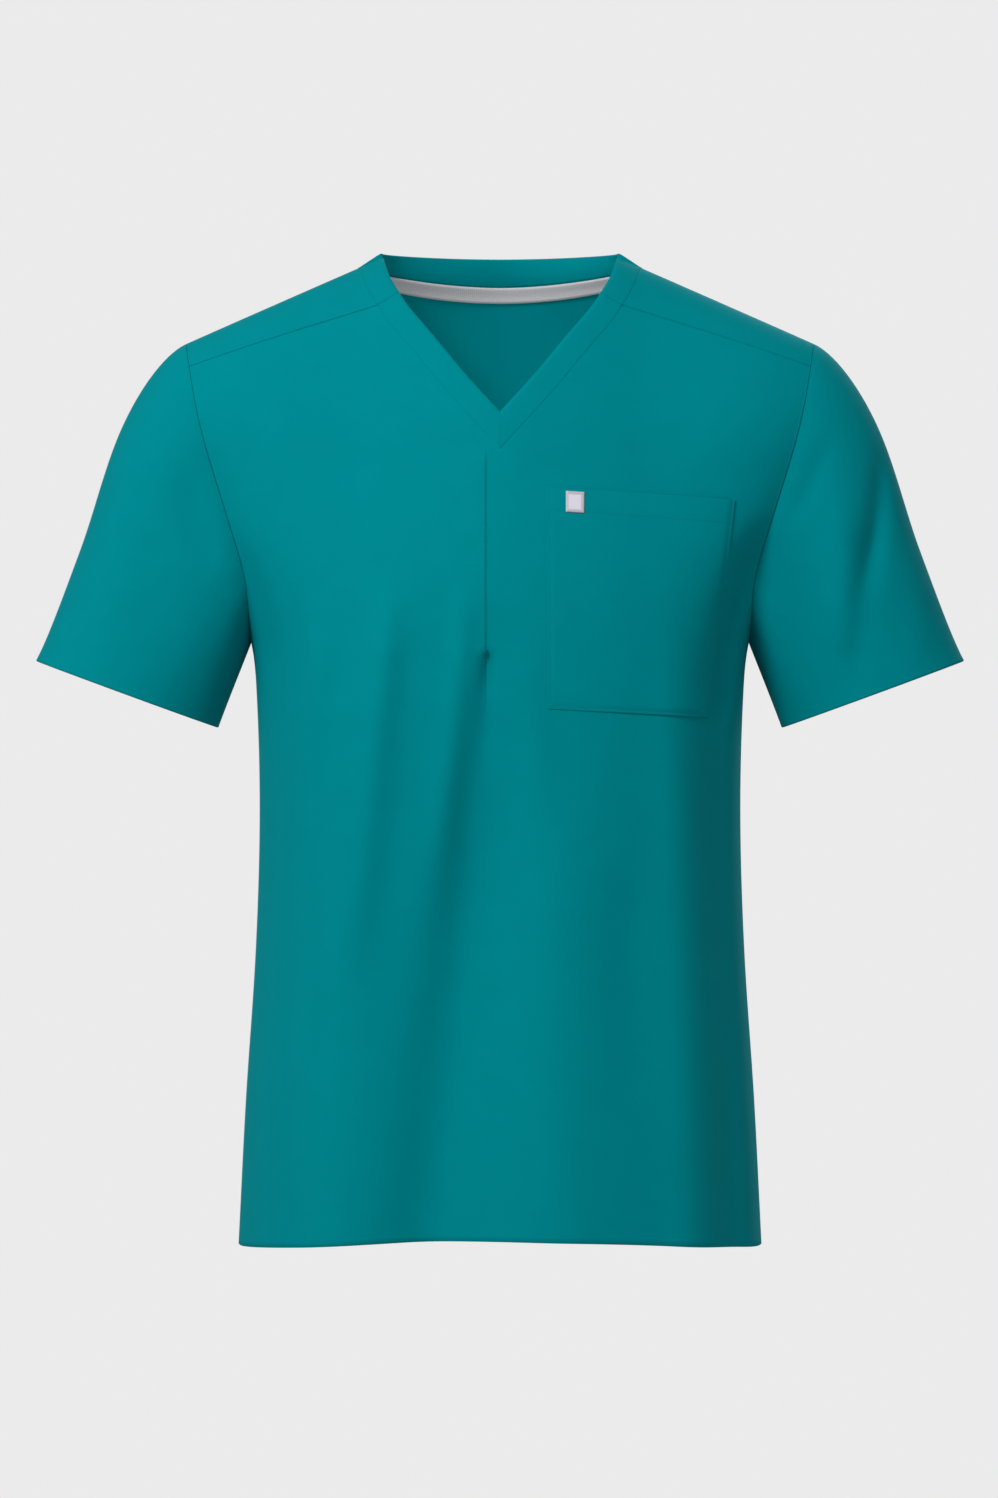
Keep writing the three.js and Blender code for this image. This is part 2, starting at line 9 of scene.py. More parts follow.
import bmesh
import bpy
import numpy as np
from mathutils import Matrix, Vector


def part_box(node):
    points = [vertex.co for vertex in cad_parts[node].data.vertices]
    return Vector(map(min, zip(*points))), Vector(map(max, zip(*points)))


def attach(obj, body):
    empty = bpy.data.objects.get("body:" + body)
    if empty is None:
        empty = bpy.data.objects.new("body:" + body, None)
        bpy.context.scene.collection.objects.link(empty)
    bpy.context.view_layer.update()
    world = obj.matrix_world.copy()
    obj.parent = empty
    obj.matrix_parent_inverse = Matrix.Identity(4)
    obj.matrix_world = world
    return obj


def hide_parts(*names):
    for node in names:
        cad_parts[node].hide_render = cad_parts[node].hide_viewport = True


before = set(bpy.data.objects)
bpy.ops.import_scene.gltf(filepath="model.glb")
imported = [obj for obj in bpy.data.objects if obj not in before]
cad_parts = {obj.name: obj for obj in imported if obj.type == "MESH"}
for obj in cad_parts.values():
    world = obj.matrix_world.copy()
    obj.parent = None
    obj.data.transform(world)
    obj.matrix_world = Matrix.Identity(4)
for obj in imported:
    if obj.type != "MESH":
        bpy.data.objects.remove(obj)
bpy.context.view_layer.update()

# The frame's origin lies below the high point of the shoulders by this much
REST_BELOW_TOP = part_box("neckband_back")[1][2]

# Cloth, and how far it is drawn in at a seam
CLOTH = 0.0007
ARM_GROOVE = 0.0005
SLEEVE_PROUD = 0.0001
NECK_GROOVE = 0.00004
NECK_NEAR = 0.15
SEAM_NEAR = 0.0007
SEAM_FAR = 0.0022
HEM_DEPTH = 0.022
CUFF_DEPTH = 0.020
HEM_INSET = 0.0015

# Shoulders: a ridge that falls away from the neck, and a cap that rounds into chest and back
RIDGE_TOP = 0.037
RIDGE_SLOPE = 0.444
RIDGE_ROUND = 0.020
CAP_AT_NECK = {"x": 0.100, "drop": 0.300, "power": 1.7}
CAP_AT_TIP = {"x": 0.240, "drop": 0.220, "power": 2.1}

# Torso sections from the hem up
SECTION_COLUMNS = ("height", "half_width", "front", "back", "power")
SECTIONS = [
    (-0.752, 0.1985, 0.146, 0.138, 2.3),
    (-0.644, 0.193, 0.142, 0.132, 2.3),
    (-0.530, 0.1855, 0.137, 0.124, 2.3),
    (-0.430, 0.1825, 0.134, 0.119, 2.35),
    (-0.340, 0.1845, 0.134, 0.122, 2.4),
    (-0.296, 0.189, 0.133, 0.126, 2.4),
    (-0.257, 0.203, 0.132, 0.127, 2.35),
    (-0.207, 0.230, 0.130, 0.128, 2.2),
    (-0.172, 0.253, 0.128, 0.128, 2.1),
    (-0.120, 0.286, 0.127, 0.127, 2.1),
    (-0.068, 0.302, 0.125, 0.125, 2.1),
    (0.040, 0.306, 0.125, 0.125, 2.1),
]
HEM = -0.752
ARMPIT = -0.296
HEM_LIFT = 0.010
HEM_LIFT_REACH = 0.300

# The armhole seam as seen from the front
ARMHOLE_COLUMNS = ("height", "reach")
ARMHOLE = [
    (-0.296, 0.189),
    (-0.257, 0.191),
    (-0.237, 0.195),
    (-0.207, 0.204),
    (-0.178, 0.213),
    (-0.148, 0.222),
    (-0.120, 0.229),
    (-0.088, 0.235),
    (-0.060, 0.240),
]
SHOULDER_TIP = 0.239
FORWARD_SEAM_OUTER = -0.088

# The neck opening as seen from the front, from the point of the V to the high point: x, height
NECK_EDGE = np.array(
    [
        (0.0, -0.125),
        (0.026, -0.096),
        (0.0503, -0.066),
        (0.067, -0.046),
        (0.076, -0.0325),
        (0.084, -0.018),
        (0.090, 0.0),
    ]
)
FORWARD_SEAM_NECK = 4 / 6
BAND_WIDTH = 0.019
BACK_NECK_DROP = 0.012
BACK_EDGE_DEPTH = 0.047
BACK_EDGE_DROP = 0.0016
TAPE_WIDTH = 0.0116
TAPE_BELOW_SEAM = -0.0026
TAPE_INSIDE = 0.0016
TAPE_OVER_BAND = 0.0014
TAPE_END = 1.03

# Sleeves
CUFF_CENTRE = np.array([0.283, -0.004, -0.335])
CUFF_TILT = math.radians(20.2)
CUFF_LONG = 0.0737
CUFF_SHORT = 0.059
SLEEVE_START_TOP = np.array([0.120, 0.0, -0.053])
SLEEVE_START_UNDER = np.array([0.024, 0.0, -0.062])
SLEEVE_START_SPREAD = 0.020
SLEEVE_END_TOP = 0.150
SLEEVE_END_UNDER = 0.078
SLEEVE_FLARE = 0.022
SLEEVE_ROUND = 0.0050
SLEEVE_ROUND_SHARE = 0.36
SLEEVE_ROUND_END = 0.65

# Chest pocket, as x and height of its corners, and the tab on its hem in shares of the pocket
POCKET = {
    "top_inner": (0.0342, -0.182),
    "top_outer": (0.176, -0.191),
    "low_inner": (0.0357, -0.3474),
    "low_outer": (0.1558, -0.3538),
}
POCKET_WIDTH = 0.140
POCKET_DEPTH = 0.165
POCKET_HEM = 0.018
POCKET_RIM = 0.0009
POCKET_PUFF = 0.0008
TAB = {"left": 0.102, "right": 0.2, "top": 0.014, "bottom": 0.110}
TAB_WIDTH = 0.0137
TAB_DEPTH = 0.0165
TAB_EDGE = 0.0009

# The pleat stitched down below the V: the wearer's right side laps over the left
PLEAT = {"x": -0.0106, "top": -0.154, "bottom": -0.306, "rise": 0.0009, "fade": 0.045, "lip": 0.0003}
PLEAT_OPENS = 0.060

# Folds. Each runs from one place to another, bowed sideways at its middle. Spread is the half width
# at the top, widen how many times that it has at the low end, and lean the same for the flank on the
# wearer's left. Rise is out of the cloth; grown and fading are shares of the way.
FOLD_COLUMNS = (
    "top_x", "top", "low_x", "low", "bow", "spread", "rise", "widen", "lean", "grown", "fading",
)
FRONT_FOLDS = [
    (-0.0090, -0.292, -0.047, -0.790, 0.003, 0.016, -0.0160, 2.5, 1.6, 0.42, 0.97),
    (-0.046, -0.440, -0.060, -0.800, 0.000, 0.034, -0.0080, 1.0, 1.0, 0.55, 0.98),
    (-0.097, -0.230, -0.138, -0.790, -0.006, 0.030, 0.0090, 1.1, 1.0, 0.40, 0.97),
    (0.045, -0.350, 0.040, -0.790, 0.000, 0.034, 0.0045, 1.0, 1.0, 0.35, 0.97),
    (0.126, -0.240, 0.146, -0.790, 0.003, 0.019, 0.0060, 1.1, 1.0, 0.30, 0.97),
    (0.164, -0.290, 0.181, -0.790, 0.002, 0.015, -0.0075, 1.2, 1.0, 0.30, 0.97),
    (0.206, -0.196, 0.170, -0.372, -0.008, 0.014, -0.0190, 1.3, 1.2, 0.30, 0.70),
    (-0.196, -0.215, -0.173, -0.360, 0.004, 0.010, -0.0060, 1.2, 1.0, 0.35, 0.60),
    (-0.081, -0.232, -0.129, -0.620, 0.0055, 0.0115, 0.0070, 1.7, 1.1, 0.22, 0.55),
    (-0.134, -0.252, -0.164, -0.500, 0.003, 0.011, 0.0054, 1.3, 1.1, 0.30, 0.50),
    (-0.026, -0.245, -0.055, -0.520, 0.004, 0.0085, 0.0040, 1.6, 1.0, 0.25, 0.55),
    (-0.0098, -0.3065, -0.0105, -0.345, 0.000, 0.0032, -0.0026, 1.6, 1.1, 0.08, 0.30),
    (-0.0093, -0.302, -0.0125, -0.420, 0.000, 0.0050, -0.0030, 2.2, 1.2, 0.08, 0.40),
    (0.016, -0.270, 0.030, -0.450, 0.002, 0.012, 0.0016, 1.2, 1.0, 0.35, 0.60),
    (-0.120, -0.200, -0.100, -0.262, 0.000, 0.020, -0.0010, 1.0, 1.0, 0.40, 0.60),
    (0.098, -0.420, 0.104, -0.700, -0.004, 0.016, -0.0020, 1.3, 1.0, 0.35, 0.60),
]
BACK_FOLDS = [
    (0.092, -0.190, 0.120, -0.790, 0.008, 0.028, 0.0070, 1.0, 1.0, 0.35, 0.97),
    (0.034, -0.330, 0.052, -0.790, -0.005, 0.026, -0.0070, 1.0, 1.3, 0.35, 0.97),
    (-0.024, -0.300, -0.014, -0.790, 0.004, 0.030, 0.0060, 1.0, 1.0, 0.35, 0.97),
    (-0.084, -0.260, -0.076, -0.790, -0.008, 0.024, -0.0060, 1.0, 0.8, 0.35, 0.97),
    (-0.128, -0.180, -0.136, -0.790, 0.006, 0.026, 0.0060, 1.0, 1.0, 0.35, 0.97),
    (0.118, -0.240, 0.146, -0.600, 0.005, 0.011, 0.0030, 1.5, 1.0, 0.30, 0.50),
    (0.071, -0.300, 0.076, -0.560, -0.004, 0.010, -0.0024, 1.5, 1.2, 0.30, 0.50),
    (-0.052, -0.280, -0.044, -0.620, 0.004, 0.010, 0.0026, 1.6, 1.1, 0.30, 0.50),
    (-0.112, -0.250, -0.104, -0.560, 0.005, 0.010, -0.0028, 1.4, 1.0, 0.30, 0.50),
    (-0.190, -0.215, -0.162, -0.380, 0.006, 0.012, -0.0070, 1.2, 1.0, 0.35, 0.60),
    (0.190, -0.215, 0.160, -0.390, -0.006, 0.012, -0.0070, 1.2, 1.0, 0.35, 0.60),
    (0.158, -0.420, 0.166, -0.790, 0.002, 0.012, -0.0040, 1.1, 1.0, 0.35, 0.97),
    (-0.160, -0.400, -0.168, -0.790, 0.002, 0.012, -0.0036, 1.1, 1.0, 0.35, 0.97),
    (0.010, -0.120, 0.006, -0.320, 0.004, 0.034, -0.0022, 1.2, 1.0, 0.40, 0.55),
]
LEFT_SLEEVE_FOLDS = [
    (0.2870, -0.120, 0.270, -0.280, 0.0045, 0.0075, -0.0088, 1.2, 1.2, 0.35, 0.60),
    (0.296, -0.085, 0.290, -0.270, 0.000, 0.030, -0.0030, 1.0, 1.0, 0.35, 0.50),
    (0.256, -0.160, 0.258, -0.335, 0.000, 0.016, 0.0050, 1.0, 0.9, 0.35, 0.60),
    (0.273, -0.240, 0.264, -0.345, 0.000, 0.012, -0.0018, 1.0, 1.0, 0.40, 0.60),
    (0.252, -0.125, 0.211, -0.222, 0.002, 0.011, -0.0020, 1.0, 1.0, 0.40, 0.60),
    (0.312, -0.190, 0.318, -0.330, 0.002, 0.012, 0.0022, 1.1, 1.0, 0.40, 0.60),
]
RIGHT_SLEEVE_FOLDS = [
    (0.262, -0.140, 0.254, -0.335, 0.004, 0.024, -0.0024, 1.0, 1.0, 0.35, 0.60),
    (0.236, -0.150, 0.214, -0.260, 0.003, 0.013, -0.0024, 1.0, 1.0, 0.40, 0.60),
    (0.300, -0.190, 0.304, -0.335, 0.002, 0.018, 0.0016, 1.1, 1.0, 0.40, 0.60),
]

# Steps of the meshes: rows of the cut between its marks, and how finely each is divided
FRONT_CENTRE_ROWS = 5
FRONT_NECK_ROWS = 7
BACK_CENTRE_ROWS = 8
BACK_NECK_ROWS = 6
OVER_RIDGE_ROWS = 3
FINE = 8
SKIRT_ROWS = 110
HALF_COLUMNS = 80
SLEEVE_RINGS = 96
BEND_ROWS = 4
SIDE_BEND = math.pi / 2
UPPER_BEND = 0.95

# Sewing
STITCH_LONG = 0.0026
STITCH_GAP = 0.0006
THREAD = 0.00028

TEAL = (0.0, 0.215, 0.246)
THREAD_TEAL = (0.0, 0.195, 0.222)
TAPE_GREY = (0.60, 0.59, 0.61)
LABEL_GREY = (0.50, 0.48, 0.55)


def smoothstep(value, low, high):
    """0 below low, 1 above high, and a soft step between."""
    t = np.clip((value - low) / (high - low), 0.0, 1.0)
    return t * t * (3 - 2 * t)


def lerp(a, b, t):
    return a + (b - a) * t


def stack(x, y, z):
    return np.stack(np.broadcast_arrays(x, y, z), axis=-1).astype(float)


def unit(vectors):
    return vectors / np.maximum(np.linalg.norm(vectors, axis=-1, keepdims=True), 1e-12)


def read_table(table, columns, name, height):
    """A named column of a table at a height, as a smooth curve through its rows."""
    rows = np.array(table)
    x = rows[:, 0]
    y = rows[:, columns.index(name)]
    before = np.maximum(np.arange(len(x)) - 1, 0)
    after = np.minimum(np.arange(len(x)) + 1, len(x) - 1)
    slope = (y[after] - y[before]) / (x[after] - x[before])
    height = np.asarray(height, dtype=float)
    i = np.clip(np.searchsorted(x, height, side="left") - 1, 0, len(x) - 2)
    span = x[i + 1] - x[i]
    t = np.clip((height - x[i]) / span, 0.0, 1.0)
    ends = y[i] * (1 + 2 * t) * (1 - t) ** 2 + y[i + 1] * (3 - 2 * t) * t**2
    return ends + slope[i] * span * t * (1 - t) ** 2 - slope[i + 1] * span * t**2 * (1 - t)


def section(name, height):
    return read_table(SECTIONS, SECTION_COLUMNS, name, height)


def ridge_height(x):
    return RIDGE_TOP - RIDGE_SLOPE * np.hypot(x, RIDGE_ROUND)


def fold_rise(folds, x, height):
    """The sum of the folds at a place, out of the cloth."""
    total = np.zeros(np.broadcast(x, height).shape)
    for row in folds:
        fold = dict(zip(FOLD_COLUMNS, row))
        along = (fold["top"] - height) / (fold["top"] - fold["low"])
        kept = np.clip(along, 0, 1)
        middle = lerp(fold["top_x"], fold["low_x"], along) + fold["bow"] * np.sin(math.pi * kept)
        spread = fold["spread"] * lerp(1, fold["widen"], kept)
        spread = spread * np.where(x > middle, fold["lean"], 1.0)
        strength = smoothstep(along, 0, fold["grown"]) * (1 - smoothstep(along, fold["fading"], 1))
        total = total + fold["rise"] * strength * np.exp(-(((x - middle) / spread) ** 2))
    return total


def pleat_rise(x, height):
    """The raised side of the stitched pleat, which ends in a small step."""
    beside = PLEAT["x"] - x
    lip = PLEAT["lip"]
    across = smoothstep(beside, -lip, lip) * (1 - smoothstep(beside, 0, PLEAT["fade"]))
    down = smoothstep(height, PLEAT["bottom"] - PLEAT_OPENS, PLEAT["bottom"])
    up = 1 - smoothstep(height, PLEAT["top"] - 0.008, PLEAT["top"])
    return PLEAT["rise"] * across * down * up


def torso_depth(x, height, is_front):
    """How far the cloth stands in front of (negative) or behind the ridge's plane."""
    half_width = section("half_width", height)
    power = section("power", height)
    depth = section("front" if is_front else "back", height)
    across = np.maximum(0, 1 - (np.abs(x) / half_width) ** power) ** (1 / power)
    outward = smoothstep(np.abs(x), CAP_AT_NECK["x"], CAP_AT_TIP["x"])
    cap_drop = lerp(CAP_AT_NECK["drop"], CAP_AT_TIP["drop"], outward)
    cap_power = lerp(CAP_AT_NECK["power"], CAP_AT_TIP["power"], outward)
    drop = np.clip((ridge_height(x) - height) / cap_drop, 0, 1)
    cap = (1 - (1 - drop) ** cap_power) ** (1 / cap_power)
    inside = smoothstep(across * cap, 0.3, 0.62)
    if is_front:
        folds = fold_rise(FRONT_FOLDS, x, height) + pleat_rise(x, height)
    else:
        folds = fold_rise(BACK_FOLDS, x, height)
    return (-1 if is_front else 1) * (depth * across * cap + folds * inside)


def shoulder_points(x, wrap):
    """The torso's points from x and the wrap: the root of the drop below the ridge, positive in front."""
    height = ridge_height(x) - wrap * wrap
    y = np.where(wrap >= 0, torso_depth(x, height, True), torso_depth(x, height, False))
    return stack(x, y, height)


def wrap_at(x, height, is_front):
    return (1 if is_front else -1) * np.sqrt(np.maximum(0, ridge_height(x) - height))


def armhole_at(way):
    """x and wrap on the armhole: 0 at the armpit, 1 on the ridge, 2 at the armpit again from behind."""
    tip = ridge_height(SHOULDER_TIP)
    height = ARMPIT + (tip - ARMPIT) * (1 - math.cos(math.pi * way)) * 0.5
    x = min(float(read_table(ARMHOLE, ARMHOLE_COLUMNS, "reach", height)), SHOULDER_TIP)
    return x, float(wrap_at(x, height, way <= 1))


def forward_seam_way():
    tip = ridge_height(SHOULDER_TIP)
    return math.acos(1 - 2 * (FORWARD_SEAM_OUTER - ARMPIT) / (tip - ARMPIT)) / math.pi


FORWARD_SEAM_WAY = forward_seam_way()


def edge_at(share):
    """A point of the neck opening's edge, as x and height, on a smooth curve through its marks."""
    last = len(NECK_EDGE) - 1
    place = share * last
    i = min(int(place), last - 1)
    t = place - i
    p0, p1 = NECK_EDGE[max(i - 1, 0)], NECK_EDGE[i]
    p2, p3 = NECK_EDGE[i + 1], NECK_EDGE[min(i + 2, last)]
    v0, v1 = (p2 - p0) * 0.5, (p3 - p1) * 0.5
    cubic = (2 * p1 - 2 * p2 + v0 + v1) * t**3
    return cubic + (-3 * p1 + 3 * p2 - 2 * v0 - v1) * t**2 + v0 * t + p1


def edge_direction(share):
    step = 1e-4
    ahead = edge_at(min(share + step, 1)) - edge_at(max(share - step, 0))
    return ahead / np.linalg.norm(ahead)


def seam_beside(share):
    edge = edge_at(share)
    along = edge_direction(share)
    return np.array([edge[0] + along[1] * BAND_WIDTH, edge[1] - along[0] * BAND_WIDTH])


def neckline_at(way):
    """x and wrap of the neckline's seam, and the opening's edge beside it: 0 at the V, 2 at the back."""
    if way <= 1:
        edge = edge_at(way)
        point = np.array([edge[0], float(torso_depth(edge[0], edge[1], True)), edge[1]])
        seam = seam_beside(way)
        if way == 0:
            along = edge_direction(0)
            seam = np.array([0.0, seam[1] - seam[0] * along[1] / along[0]])
        wrap = 0.0 if way == 1 else float(wrap_at(seam[0], seam[1], True))
        return seam[0], wrap, point
    turn = (2 - way) * math.pi * 0.5
    level = math.cos(turn) ** 2
    neck_point = seam_beside(1)[0]
    x = neck_point * math.sin(turn)
    height = ridge_height(neck_point) - BACK_NECK_DROP * level
    high_point = NECK_EDGE[-1][0]
    edge = np.array(
        [
            high_point * math.sin(turn),
            BACK_EDGE_DEPTH * math.cos(turn),
            -BACK_EDGE_DROP * level,
        ]
    )
    return x, float(wrap_at(x, height, False)), edge


def spread(share, bend):
    """How a share of a row maps onto it: spaced like a sine where the row reaches the side seam."""
    return np.sin(share * bend) / np.sin(bend)


def share_of(part, bend):
    return np.arcsin(np.clip(part, -1, 1) * np.sin(bend)) / bend


# Columns of the front, with a close group at the pleat's edge
PLEAT_COLUMNS = PLEAT["x"] + np.array([-4.0, -1.8, -0.9, -0.4, -0.15, 0.15, 0.4, 0.9, 1.8, 4.0]) * 0.001
BESIDE_PLEAT = 4
PLAIN_SHARES = np.linspace(-1, 1, 2 * HALF_COLUMNS + 1)
MIDDLE = {True: HALF_COLUMNS - BESIDE_PLEAT - 1 + len(PLEAT_COLUMNS) + BESIDE_PLEAT - 2, False: HALF_COLUMNS}


def column_shares(is_front, reach, bend):
    """Shares of a row from the wearer's right to the left, -1 to 1, for a row that reaches so far."""
    if not is_front:
        return PLAIN_SHARES
    marks = share_of(PLEAT_COLUMNS / reach, bend)
    left = np.linspace(-1, marks[0], HALF_COLUMNS - BESIDE_PLEAT)[:-1]
    middle = np.linspace(marks[-1], 0, BESIDE_PLEAT)[1:]
    right = np.linspace(0, 1, HALF_COLUMNS + 1)[1:]
    return np.concatenate([left, marks, middle, right])


def skirt_row(height, is_front):
    """A row of the torso below the armpit."""
    shares = column_shares(is_front, float(section("half_width", height)), SIDE_BEND)
    low = smoothstep(-height, -HEM - HEM_LIFT_REACH, -HEM)
    lift = (HEM_LIFT if is_front else 0) * low * (1 - spread(shares, SIDE_BEND) ** 2)
    level = height + lift
    x = section("half_width", level) * spread(shares, SIDE_BEND)
    y = torso_depth(x, level, is_front)
    y[0] = y[-1] = 0
    return stack(x, y, level)


def upper_row(inner, outer, mark, is_front, side, v_reach):
    """A row of one half above the armpit, from the middle or the neckline out to the armhole."""
    bend = float(lerp(SIDE_BEND, UPPER_BEND, smoothstep(mark, 0, BEND_ROWS)))
    middle = MIDDLE[is_front]
    shares = column_shares(is_front, min(outer[0], v_reach), bend)
    shares = shares[middle:] if side > 0 else -shares[: middle + 1][::-1]
    part = spread(shares, bend)
    part[-1] = 1
    return shoulder_points(lerp(inner[0], outer[0], part) * side, lerp(inner[1], outer[1], part))


def marks_between(count):
    return np.arange(count * FINE + 1) / FINE


def front_places(mark):
    """The neck end and the armhole end of a front row, from its mark above the armpit."""
    total = FRONT_CENTRE_ROWS + FRONT_NECK_ROWS
    outer = armhole_at(FORWARD_SEAM_WAY * mark / total)
    if mark >= FRONT_CENTRE_ROWS:
        way = (mark - FRONT_CENTRE_ROWS) / FRONT_NECK_ROWS * FORWARD_SEAM_NECK
        return neckline_at(way)[:2], outer
    top = ridge_height(0) - neckline_at(0)[1] ** 2
    height = lerp(ARMPIT, top, mark / FRONT_CENTRE_ROWS)
    return (0.0, float(wrap_at(0, height, True))), outer


def back_ways(mark):
    """Ways along the neckline (none below it) and the armhole for a back row."""
    to_ridge = BACK_CENTRE_ROWS + BACK_NECK_ROWS
    if mark > to_ridge:
        over = (mark - to_ridge) / OVER_RIDGE_ROWS
        return lerp(1, FORWARD_SEAM_NECK, over), lerp(1, FORWARD_SEAM_WAY, over)
    neck = None
    if mark >= BACK_CENTRE_ROWS:
        neck = 2 - (mark - BACK_CENTRE_ROWS) / BACK_NECK_ROWS
    return neck, 2 - mark / to_ridge


def back_places(mark):
    neck, arm = back_ways(mark)
    outer = armhole_at(arm)
    if neck is not None:
        return neckline_at(neck)[:2], outer
    top = ridge_height(0) - neckline_at(2)[1] ** 2
    height = lerp(ARMPIT, top, mark / BACK_CENTRE_ROWS)
    return (0.0, float(wrap_at(0, height, False))), outer


FRONT_MARKS = marks_between(FRONT_CENTRE_ROWS + FRONT_NECK_ROWS)
BACK_MARKS = marks_between(BACK_CENTRE_ROWS + BACK_NECK_ROWS + OVER_RIDGE_ROWS)


def torso_grids(is_front):
    """The rows right across, up to the neckline, then the halves beside it, each from the neck out."""
    places = front_places if is_front else back_places
    marks = FRONT_MARKS if is_front else BACK_MARKS
    centre = FRONT_CENTRE_ROWS if is_front else BACK_CENTRE_ROWS
    v_reach = places(centre)[1][0]
    halves = {}
    for side in (1, -1):
        halves[side] = [upper_row(*places(m), m, is_front, side, v_reach) for m in marks]
    skirt = [skirt_row(h, is_front) for h in np.linspace(HEM, ARMPIT, SKIRT_ROWS + 1)[:-1]]
    top = centre * FINE
    whole = [np.concatenate([halves[-1][i][::-1], halves[1][i][1:]]) for i in range(top + 1)]
    return {
        "whole": np.array(skirt + whole),
        1: np.array(halves[1][top:]),
        -1: np.array(halves[-1][top:]),
    }


def facing(grid, away):
    """The grid's normals, and 1 or -1 for which way its own order of rows and columns faces."""
    normal = unit(np.cross(np.gradient(grid, axis=1), np.gradient(grid, axis=0)))
    sign = 1 if (normal * away).sum() > 0 else -1
    return normal * sign, sign


def away_from_body(grid):
    """Roughly outward from the middle of the torso."""
    return grid * np.array([0.5, 1, 0]) + np.array([0, 0, 0.02])


def away_from_arm(grid):
    return grid - grid.mean(axis=1, keepdims=True)


PANELS = {True: torso_grids(True), False: torso_grids(False)}


def armhole_loop(side):
    """Points round an armhole, and each one's turn from the ridge, positive in front."""
    front = [FORWARD_SEAM_WAY * m / FRONT_MARKS[-1] for m in FRONT_MARKS]
    back = [back_ways(m)[1] for m in BACK_MARKS][::-1]
    ways = np.array(front + back[1:])
    places = np.array([armhole_at(w) for w in ways])
    points = shoulder_points(places[:, 0] * side, places[:, 1])
    lengths = np.concatenate([[0], np.cumsum(np.linalg.norm(np.diff(points, axis=0), axis=-1))])
    ridge = int(np.argmin(np.abs(ways - 1)))
    front_turn = math.pi * (1 - lengths[: ridge + 1] / lengths[ridge])
    back_turn = -math.pi * (lengths[ridge + 1 :] - lengths[ridge]) / (lengths[-1] - lengths[ridge])
    return points * np.array([side, 1, 1]), np.concatenate([front_turn, back_turn])


def sleeve_grid(side):
    """Rows from the armhole to the cuff, columns round it from the armpit up the front."""
    start, turn = armhole_loop(side)
    folds = LEFT_SLEEVE_FOLDS if side > 0 else RIGHT_SLEEVE_FOLDS
    under = ((1 - np.cos(turn)) * 0.5)[:, None]
    out = np.array([math.cos(CUFF_TILT), 0, math.sin(CUFF_TILT)])
    down = np.array([math.sin(CUFF_TILT), 0, -math.cos(CUFF_TILT)])
    cuff = CUFF_CENTRE + out * CUFF_LONG * np.cos(turn)[:, None]
    cuff = cuff - np.array([0, CUFF_SHORT, 0]) * np.sin(turn)[:, None]
    leave = lerp(SLEEVE_START_TOP, SLEEVE_START_UNDER, under)
    leave = leave - np.array([0, SLEEVE_START_SPREAD, 0]) * np.sin(turn)[:, None]
    arrive = down * lerp(SLEEVE_END_TOP, SLEEVE_END_UNDER, under) + out * SLEEVE_FLARE * (1 - under)
    rows = []
    for t in np.linspace(0, 1, SLEEVE_RINGS + 1):
        row = start * (1 + 2 * t) * (1 - t) ** 2 + leave * t * (1 - t) ** 2
        row = row + cuff * t * t * (3 - 2 * t) - arrive * t * t * (1 - t)
        rise = fold_rise(folds, row[:, 0], row[:, 2]) * smoothstep(t, 0, 0.2)
        row[:, 1] -= rise * np.sin(turn)
        swell = smoothstep(t, 0, SLEEVE_ROUND_SHARE) * (1 - smoothstep(t, SLEEVE_ROUND_SHARE, SLEEVE_ROUND_END))
        row = row + SLEEVE_ROUND * swell * (1 - under) ** 3 * np.array([0.8, 0, 0.6])
        rows.append(row)
    return np.array(rows) * np.array([side, 1, 1])


SLEEVES = {1: sleeve_grid(1), -1: sleeve_grid(-1)}


def panel_edges(is_front, side):
    """Points and normals up a panel's side seam and armhole."""
    grids = PANELS[is_front]
    column = -1 if side > 0 else 0
    whole = facing(grids["whole"], away_from_body(grids["whole"]))[0]
    half = facing(grids[side], away_from_body(grids[side]))[0]
    points = np.concatenate([grids["whole"][:, column], grids[side][1:, -1]])
    return points, np.concatenate([whole[:, column], half[1:, -1]])


def shoulder_edges(is_front, side):
    grid = PANELS[is_front][side]
    return grid[-1], facing(grid, away_from_body(grid))[0][-1]


def shared_normals(*edges):
    """Seam points and, for each, the mean of the normals of all the pieces that meet there."""
    points = np.concatenate([e[0] for e in edges])
    normals = np.concatenate([e[1] for e in edges])
    near = np.linalg.norm(points[:, None] - points[None], axis=-1) < 1e-5
    return points, unit(near.astype(float) @ normals)


def sleeve_edge(side):
    grid = SLEEVES[side]
    return grid[0], facing(grid, away_from_arm(grid))[0][0]


OUTLINE_SEAMS = {
    side: shared_normals(panel_edges(True, side), panel_edges(False, side), sleeve_edge(side))
    for side in (1, -1)
}
SHOULDER_SEAMS = {
    side: shared_normals(shoulder_edges(True, side), shoulder_edges(False, side)) for side in (1, -1)
}


def seam_normals(seam, points):
    """The shared normal at the seam's nearest point, for each of these points."""
    known, normals = seam
    distance = np.linalg.norm(points[:, None] - known[None], axis=-1)
    return normals[np.argmin(distance, axis=1)]


